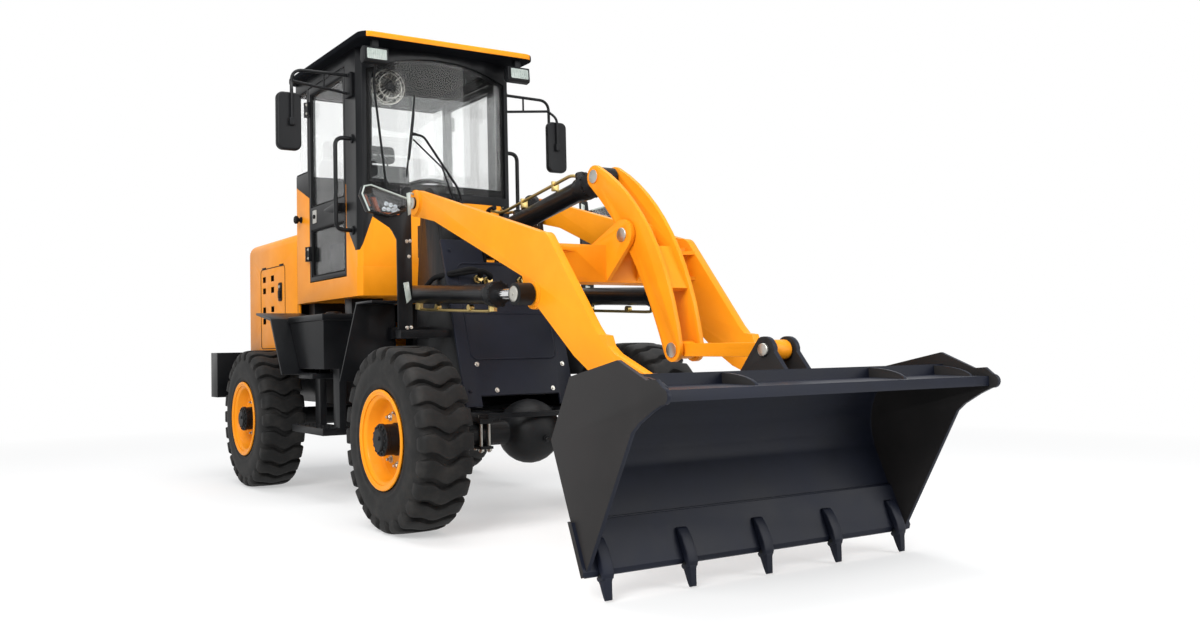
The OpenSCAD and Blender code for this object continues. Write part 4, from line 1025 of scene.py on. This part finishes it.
def makeScreenTrim(s):
    bm = bmesh.new()
    topAt = lambda y: s["top"] + s["arch"] * (1 - (y / s["half"]) ** 2)
    n = 48
    ys = [-s["half"] + 2 * s["half"] * k / n for k in range(n + 1)]

    def strip(edge, inner):
        rings = []
        for y in ys:
            y2 = max(-s["half"] + s["side"], min(s["half"] - s["side"], y))
            a, b = edge(y), inner(y2)
            rings.append([screenPoint(y, a, 17.5), screenPoint(y2, b, 17.5), screenPoint(y2, b, 19),
                          screenPoint(y, a, 19)])
        addRings(bm, rings, 0)

    strip(lambda y: s["sill"], lambda y: s["sill"] + s["band"])
    strip(topAt, lambda y: topAt(y) - s["side"])
    for g in (-1, 1):
        e, i = g * s["half"], g * (s["half"] - s["side"])
        zs = [s["sill"] + (s["top"] - s["sill"]) * k / 8 for k in range(9)]
        addRings(bm, [[screenPoint(e, z, 17.5), screenPoint(i, z, 17.5), screenPoint(i, z, 19),
                       screenPoint(e, z, 19)] for z in zs], 0)
    # wiper: pivot housing, drive arm, guide arm, blade
    py, pz = s["pivot"]
    hubPoint = screenPoint(py, pz, -6)
    addTurned(bm, [(-10, 24), (6, 24), (10, 18), (24, 16)], hubPoint, (1, 0, 0), 20, 1)
    addTurned(bm, [(-10, 18), (8, 18), (18, 12)], screenPoint(py - 52, pz + 4, -6), (1, 0, 0), 16, 1)
    joint = screenPoint(-196, 2060, -34)
    addTube(bm, bentPath([screenPoint(py, pz, -26), screenPoint(py - 20, pz + 60, -34),
                          screenPoint(-140, 2052, -40), joint], 60), 7, 8, 1)
    guide = [screenPoint(py - 52, pz + 4, -22), screenPoint(-20, 1880, -32), screenPoint(-200, 2030, -34)]
    addTube(bm, guide, 5, 8, 1)
    blade = [screenPoint(-233 + 55 * t, 1822 + 456 * t, -14) for t in [k / 12 for k in range(13)]]
    addTube(bm, blade, 6, 6, 1)
    spine = [screenPoint(-233 + 55 * t, 1822 + 456 * t,
                         -24 - 10 * math.sin(math.pi * t)) for t in [0.2 + 0.05 * k for k in range(13)]]
    addTube(bm, spine, 4, 6, 1)
    addTurned(bm, [(-16, 9), (14, 9)], joint, (0, 1, 0), 12, 1)
    # slim rod from the lamp bracket to the foot of the pillar
    addTube(bm, [Vector((240, -440, 2440)), screenPoint(-420, 2330, -26), screenPoint(-362, 1822, -22),
                 screenPoint(-350, 1736, -10)], 7, 10, 1)
    finishPiece("screenBandAndWiper", rearBody, bm, ["rubberExtruded", "absPlasticGrained"])


makeScreenTrim(screenSet)

# Knob on each rear quarter, rubber round the rear glass
quarterSet = {"x": -787, "z": 1676, "sill": 1960, "rail": 2480}


def makeQuarterTrim(s):
    bm = bmesh.new()
    for g in (-1, 1):
        addTurned(bm, [(-2, 20), (6, 20), (10, 12), (20, 12), (26, 24), (40, 26), (46, 20)],
                  (s["x"], g * 500, s["z"]), (0, g, 0), 24, 0)
        for z in (s["sill"] + 5, s["rail"] - 5):
            addTube(bm, [(-862, g * 494, z), (-680, g * 494, z)], 6, 8, 0)
    for z in (s["sill"] + 5, s["rail"] - 5):
        addTube(bm, [(-864, -490, z), (-864, 490, z)], 6, 8, 0)
    finishPiece("quarterTrim", rearBody, bm, ["rubberExtruded"])


makeQuarterTrim(quarterSet)
print("stage: doors and windows trimmed")

# Inside the cab: steering wheel, then levers, dials and a fan
wheelSet = {"base": (-20, 0, 1560), "tilt": 25, "radius": 185, "rim": 14, "up": 210}


def makeSteeringWheel(s):
    a = math.radians(s["tilt"])
    axis = Vector((-math.sin(a), 0, math.cos(a)))
    ahead = Vector((math.cos(a), 0, math.sin(a)))
    left = Vector((0, 1, 0))
    centre = Vector(s["base"]) + axis * s["up"]
    bm = bmesh.new()
    ring = [centre + (ahead * math.cos(t) + left * math.sin(t)) * s["radius"] for t in turns(64)]
    grip = [s["rim"] + (0.8 if k % 4 == 0 else 0) for k in range(64)]
    addTube(bm, ring, grip, 14, 0, loop=True)
    addTurned(bm, [(-20, 34), (2, 46), (14, 44), (20, 30), (21, 10)], centre, axis, 32, 0)
    for t in (90, 210, 330):
        d = ahead * math.cos(math.radians(t)) + left * math.sin(math.radians(t))
        spoke = [centre + d * out + axis * up for out, up in ((36, 2), (90, -8), (140, -6), (180, 0))]
        addTube(bm, spoke, [15, 11, 10, 11], 10, 0)
    knob = centre + (left * 0.8 + ahead * 0.6) * s["radius"]
    addTurned(bm, [(8, 8), (30, 9), (36, 20), (60, 24), (74, 16)], knob, axis, 20, 0)
    finishPiece("steeringWheelMoulded", bodyOf("steering_wheel"), bm, ["absPlasticGrained"], ["steering_wheel"])


makeSteeringWheel(wheelSet)


cabSet = {
    "levers": (-300, -345), "dials": ((-70, 42), (30, 42), (110, 26)), "fan": (46, -287, 2350),
    "cage": ((98, 0), (74, -26), (44, -36), (98, 34), (70, 52)), "wires": 18, "blades": 3,
}


def makeCabFittings(s):
    bm = bmesh.new()
    for y in s["levers"]:  # pilot levers on the right console
        addTube(bm, [(-330, y, 1496), (-322, y, 1560), (-312, y, 1620)], 6, 10, 0)
        addTurned(bm, [(0, 22), (20, 14)], (-330, y, 1499), (0, 0, 1), 20, 0)
        addTurned(bm, [(0, 9), (10, 20), (34, 22), (48, 14)], (-312, y, 1612), (0.2, 0, 1), 20, 0)
    addBlock(bm, (-40, -170, 1630), (60, 170, 1690), 18, 0, 3)  # instrument binnacle
    for y, r in s["dials"]:
        addTurned(bm, [(0, r), (5, r), (5, r - 5), (2, r - 7)], (-40, y, 1662), (-1, 0, 0.3), 28, 1)
    # fan on the front rail: wire cage, hub, three blades, foot
    c = Vector(s["fan"])
    for r, d in s["cage"]:
        addTube(bm, [c + Vector((d, r * math.cos(t), r * math.sin(t))) for t in turns(36)], 2.4, 6, 1, loop=True)
    for t in turns(s["wires"]):
        u = Vector((0, math.cos(t), math.sin(t)))
        wire = [c + u * out + Vector((x, 0, 0)) for out, x in ((20, -38), (60, -32), (98, 0), (98, 34), (40, 56))]
        addTube(bm, wire, 1.6, 5, 1)
    addTurned(bm, [(-40, 20), (-34, 26), (50, 26), (58, 18)], c, (1, 0, 0), 24, 0)
    for t in turns(s["blades"]):
        u, w = Vector((0, math.cos(t), math.sin(t))), Vector((0, -math.sin(t), math.cos(t)))
        blade = [c + u * 24 - w * 12, c + u * 84 - w * 34 + Vector((-10, 0, 0)),
                 c + u * 86 + w * 26 + Vector((12, 0, 0)), c + u * 24 + w * 12]
        addRings(bm, [blade, [p + Vector((3, 0, 0)) for p in blade]], 0)
    addTube(bm, [c + Vector((40, 0, 90)), c + Vector((60, 0, 150)), c + Vector((62, 0, 192))], 9, 10, 0)
    finishPiece("cabFittings", rearBody, bm, ["absPlasticGrained", "zincPlatedTurned"])


makeCabFittings(cabSet)

# Seat: foam pads in vinyl, swelled by a short cloth run, on a bellows base
seatSet = {
    "cushion": {"low": (-652, -232, 1440), "high": (-238, 232, 1552), "edge": 42},
    "back": {"low": (-50, -222, 14), "high": (42, 222, 512), "edge": 38, "tilt": 8, "at": (-640, 0, 1550)},
    "head": {"low": (-38, -122, 520), "high": (30, 122, 634), "edge": 30, "tilt": 8, "at": (-640, 0, 1550)},
    "voxel": 0.007, "pressure": 4.0, "cap": 0.010, "frames": 20, "seamHalf": 9, "seamDepth": 0.004,
}


def swellPad(obj, s):  # foam under tension: pressure against the cover, movement capped
    still = [v.co.copy() for v in obj.data.vertices]
    cloth = obj.modifiers.new("foamSwell", "CLOTH")
    cloth.settings.use_pressure = True
    cloth.settings.uniform_pressure_force = s["pressure"]
    cloth.settings.effector_weights.gravity = 0
    cloth.collision_settings.use_collision = False
    scene = bpy.context.scene
    for k in range(1, s["frames"] + 1):
        scene.frame_set(k)
    shaped = obj.evaluated_get(bpy.context.evaluated_depsgraph_get()).data
    moved = [v.co.copy() for v in shaped.vertices]
    obj.modifiers.remove(cloth)
    scene.frame_set(1)
    for v, a, b in zip(obj.data.vertices, still, moved):
        d = b - a
        v.co = a + (d * (s["cap"] / d.length) if d.length > s["cap"] else d)


def makePad(name, p, s, seams):
    bm = bmesh.new()
    addBlock(bm, p["low"], p["high"], p["edge"], 0, 4)
    if "tilt" in p:
        turn = Matrix.Rotation(math.radians(-p["tilt"]), 4, "Y")
        for v in bm.verts:
            v.co = turn @ v.co + Vector(p["at"])
    obj = finishPiece(name, rearBody, bm, ["vinylUpholstery"], ["seat"])
    mod = obj.modifiers.new("remesh", "REMESH")
    mod.mode = "VOXEL"
    mod.voxel_size = s["voxel"]
    shaped = bpy.data.meshes.new_from_object(obj.evaluated_get(bpy.context.evaluated_depsgraph_get()))
    obj.modifiers.clear()
    obj.data = shaped
    swellPad(obj, s)
    for v in obj.data.vertices:  # sewn channels
        q = (v.co.x * 1000 + midX, v.co.y * 1000, v.co.z * 1000)
        near = min(abs(q[k] - place) for k, place in seams)
        if near < s["seamHalf"]:
            v.co -= v.normal * s["seamDepth"] * (1 - near / s["seamHalf"])
    for f in obj.data.polygons:
        f.use_smooth = True


def makeSeat(s):
    makePad("seatCushion", s["cushion"], s, [(1, -120), (1, 0), (1, 120)])
    makePad("seatBack", s["back"], s, [(2, 1680), (2, 1790), (2, 1900)])
    makePad("seatHead", s["head"], s, [(1, 0)])
    bm = bmesh.new()
    for k in range(7):  # rubber bellows over the suspension frame
        z, grow = 1200 + k * 30, 10 if k % 2 else 0
        addBlock(bm, (-600 - grow, -150 - grow, z), (-320 + grow, 150 + grow, z + 31), 9, 0)
    addBlock(bm, (-620, -200, 1178), (-300, 200, 1204), 5, 1)
    addBlock(bm, (-640, -210, 1410), (-250, 210, 1444), 8, 1)
    addTurned(bm, [(-215, 9), (215, 9)], (-634, 0, 1546), (0, 1, 0), 12, 1)
    for y in (-70, 70):
        addTube(bm, [(-716, y, 2040), (-722, y, 2090)], 6, 8, 1)
    finishPiece("seatBase", rearBody, bm, ["rubberExtruded", "sprayedEnamelBlack"], ["seat"])


makeSeat(seatSet)
print("stage: cab fitted out")

# White paper floor that keeps the shadow, soft studio light
stageSet = {
    "floor": "#f6f6f5", "glow": (0.45, 1.0), "fade": (3.0, 7.0), "world": 0.48,
    "lamps": (
        ("keyLamp", (4.5, -5.5, 5.0), (0.3, 0, 1.0), 3.5, 510),
        ("fillLamp", (6.5, 3.0, 3.0), (0.8, 0, 0.9), 4.0, 200),
        ("skyLamp", (-0.5, 0, 7.5), (0, 0, 0), 6.0, 380),
    ),
}


def seenRays(tree):  # 1 for what the camera, a reflection or clear glass looks at
    rays = addNode(tree, "ShaderNodeLightPath").outputs
    either = addNode(tree, "ShaderNodeMath", {"operation": "MAXIMUM"},
                     {0: rays["Is Camera Ray"], 1: rays["Is Glossy Ray"]})
    links = {0: either.outputs[0], 1: rays["Is Transmission Ray"]}
    return addNode(tree, "ShaderNodeMath", {"operation": "MAXIMUM"}, links).outputs[0]


def makeStage(s):
    bm = bmesh.new()
    bmesh.ops.create_grid(bm, x_segments=1, y_segments=1, size=60)
    mat, tree, shader = newMaterial("palePaperFloor")
    drive(tree, shader, {"Base Color": hexLinear(s["floor"]), "Roughness": 0.95, "Specular IOR Level": 0.0})
    where = addNode(tree, "ShaderNodeTexCoord").outputs["Object"]
    away = addNode(tree, "ShaderNodeVectorMath", {"operation": "LENGTH"}, {0: where}).outputs["Value"]
    nearFar = {"From Min": s["fade"][0], "From Max": s["fade"][1], "To Min": s["glow"][0], "To Max": s["glow"][1]}
    blend = addNode(tree, "ShaderNodeMapRange", nearFar, {"Value": away}).outputs["Result"]
    share = addNode(tree, "ShaderNodeMath", {"operation": "MULTIPLY"}, {0: seenRays(tree), 1: blend})
    glow = addNode(tree, "ShaderNodeEmission", {"Color": (1, 1, 1, 1), "Strength": 1.0})
    mix = addNode(tree, "ShaderNodeMixShader",
                  links={0: share.outputs[0], 1: shader.outputs[0], 2: glow.outputs[0]})
    out = next(n for n in tree.nodes if n.type == "OUTPUT_MATERIAL")
    tree.links.new(mix.outputs[0], out.inputs[0])
    floor = placeMesh("paleFloor", bm, [mat])
    world = bpy.data.worlds.new("studioWorld")
    bpy.context.scene.world = world
    world.use_nodes = True
    tree = world.node_tree
    tree.nodes.clear()
    out = addNode(tree, "ShaderNodeOutputWorld")
    lit = addNode(tree, "ShaderNodeBackground", {"Color": hexLinear("#f2f5fa"), "Strength": s["world"]})
    seen = addNode(tree, "ShaderNodeBackground", {"Color": (1, 1, 1, 1), "Strength": 1.0})
    mix = addNode(tree, "ShaderNodeMixShader", links={0: seenRays(tree), 1: lit.outputs[0], 2: seen.outputs[0]})
    tree.links.new(mix.outputs[0], out.inputs[0])
    for name, place, aim, size, power in s["lamps"]:
        lamp = bpy.data.lights.new(name, "AREA")
        lamp.size = size
        lamp.energy = power
        obj = bpy.data.objects.new(name, lamp)
        bpy.context.scene.collection.objects.link(obj)
        obj.location = place
        obj.rotation_euler = (Vector(aim) - Vector(place)).to_track_quat("-Z", "Y").to_euler()


makeStage(stageSet)
bpy.context.scene.view_settings.view_transform = "Standard"
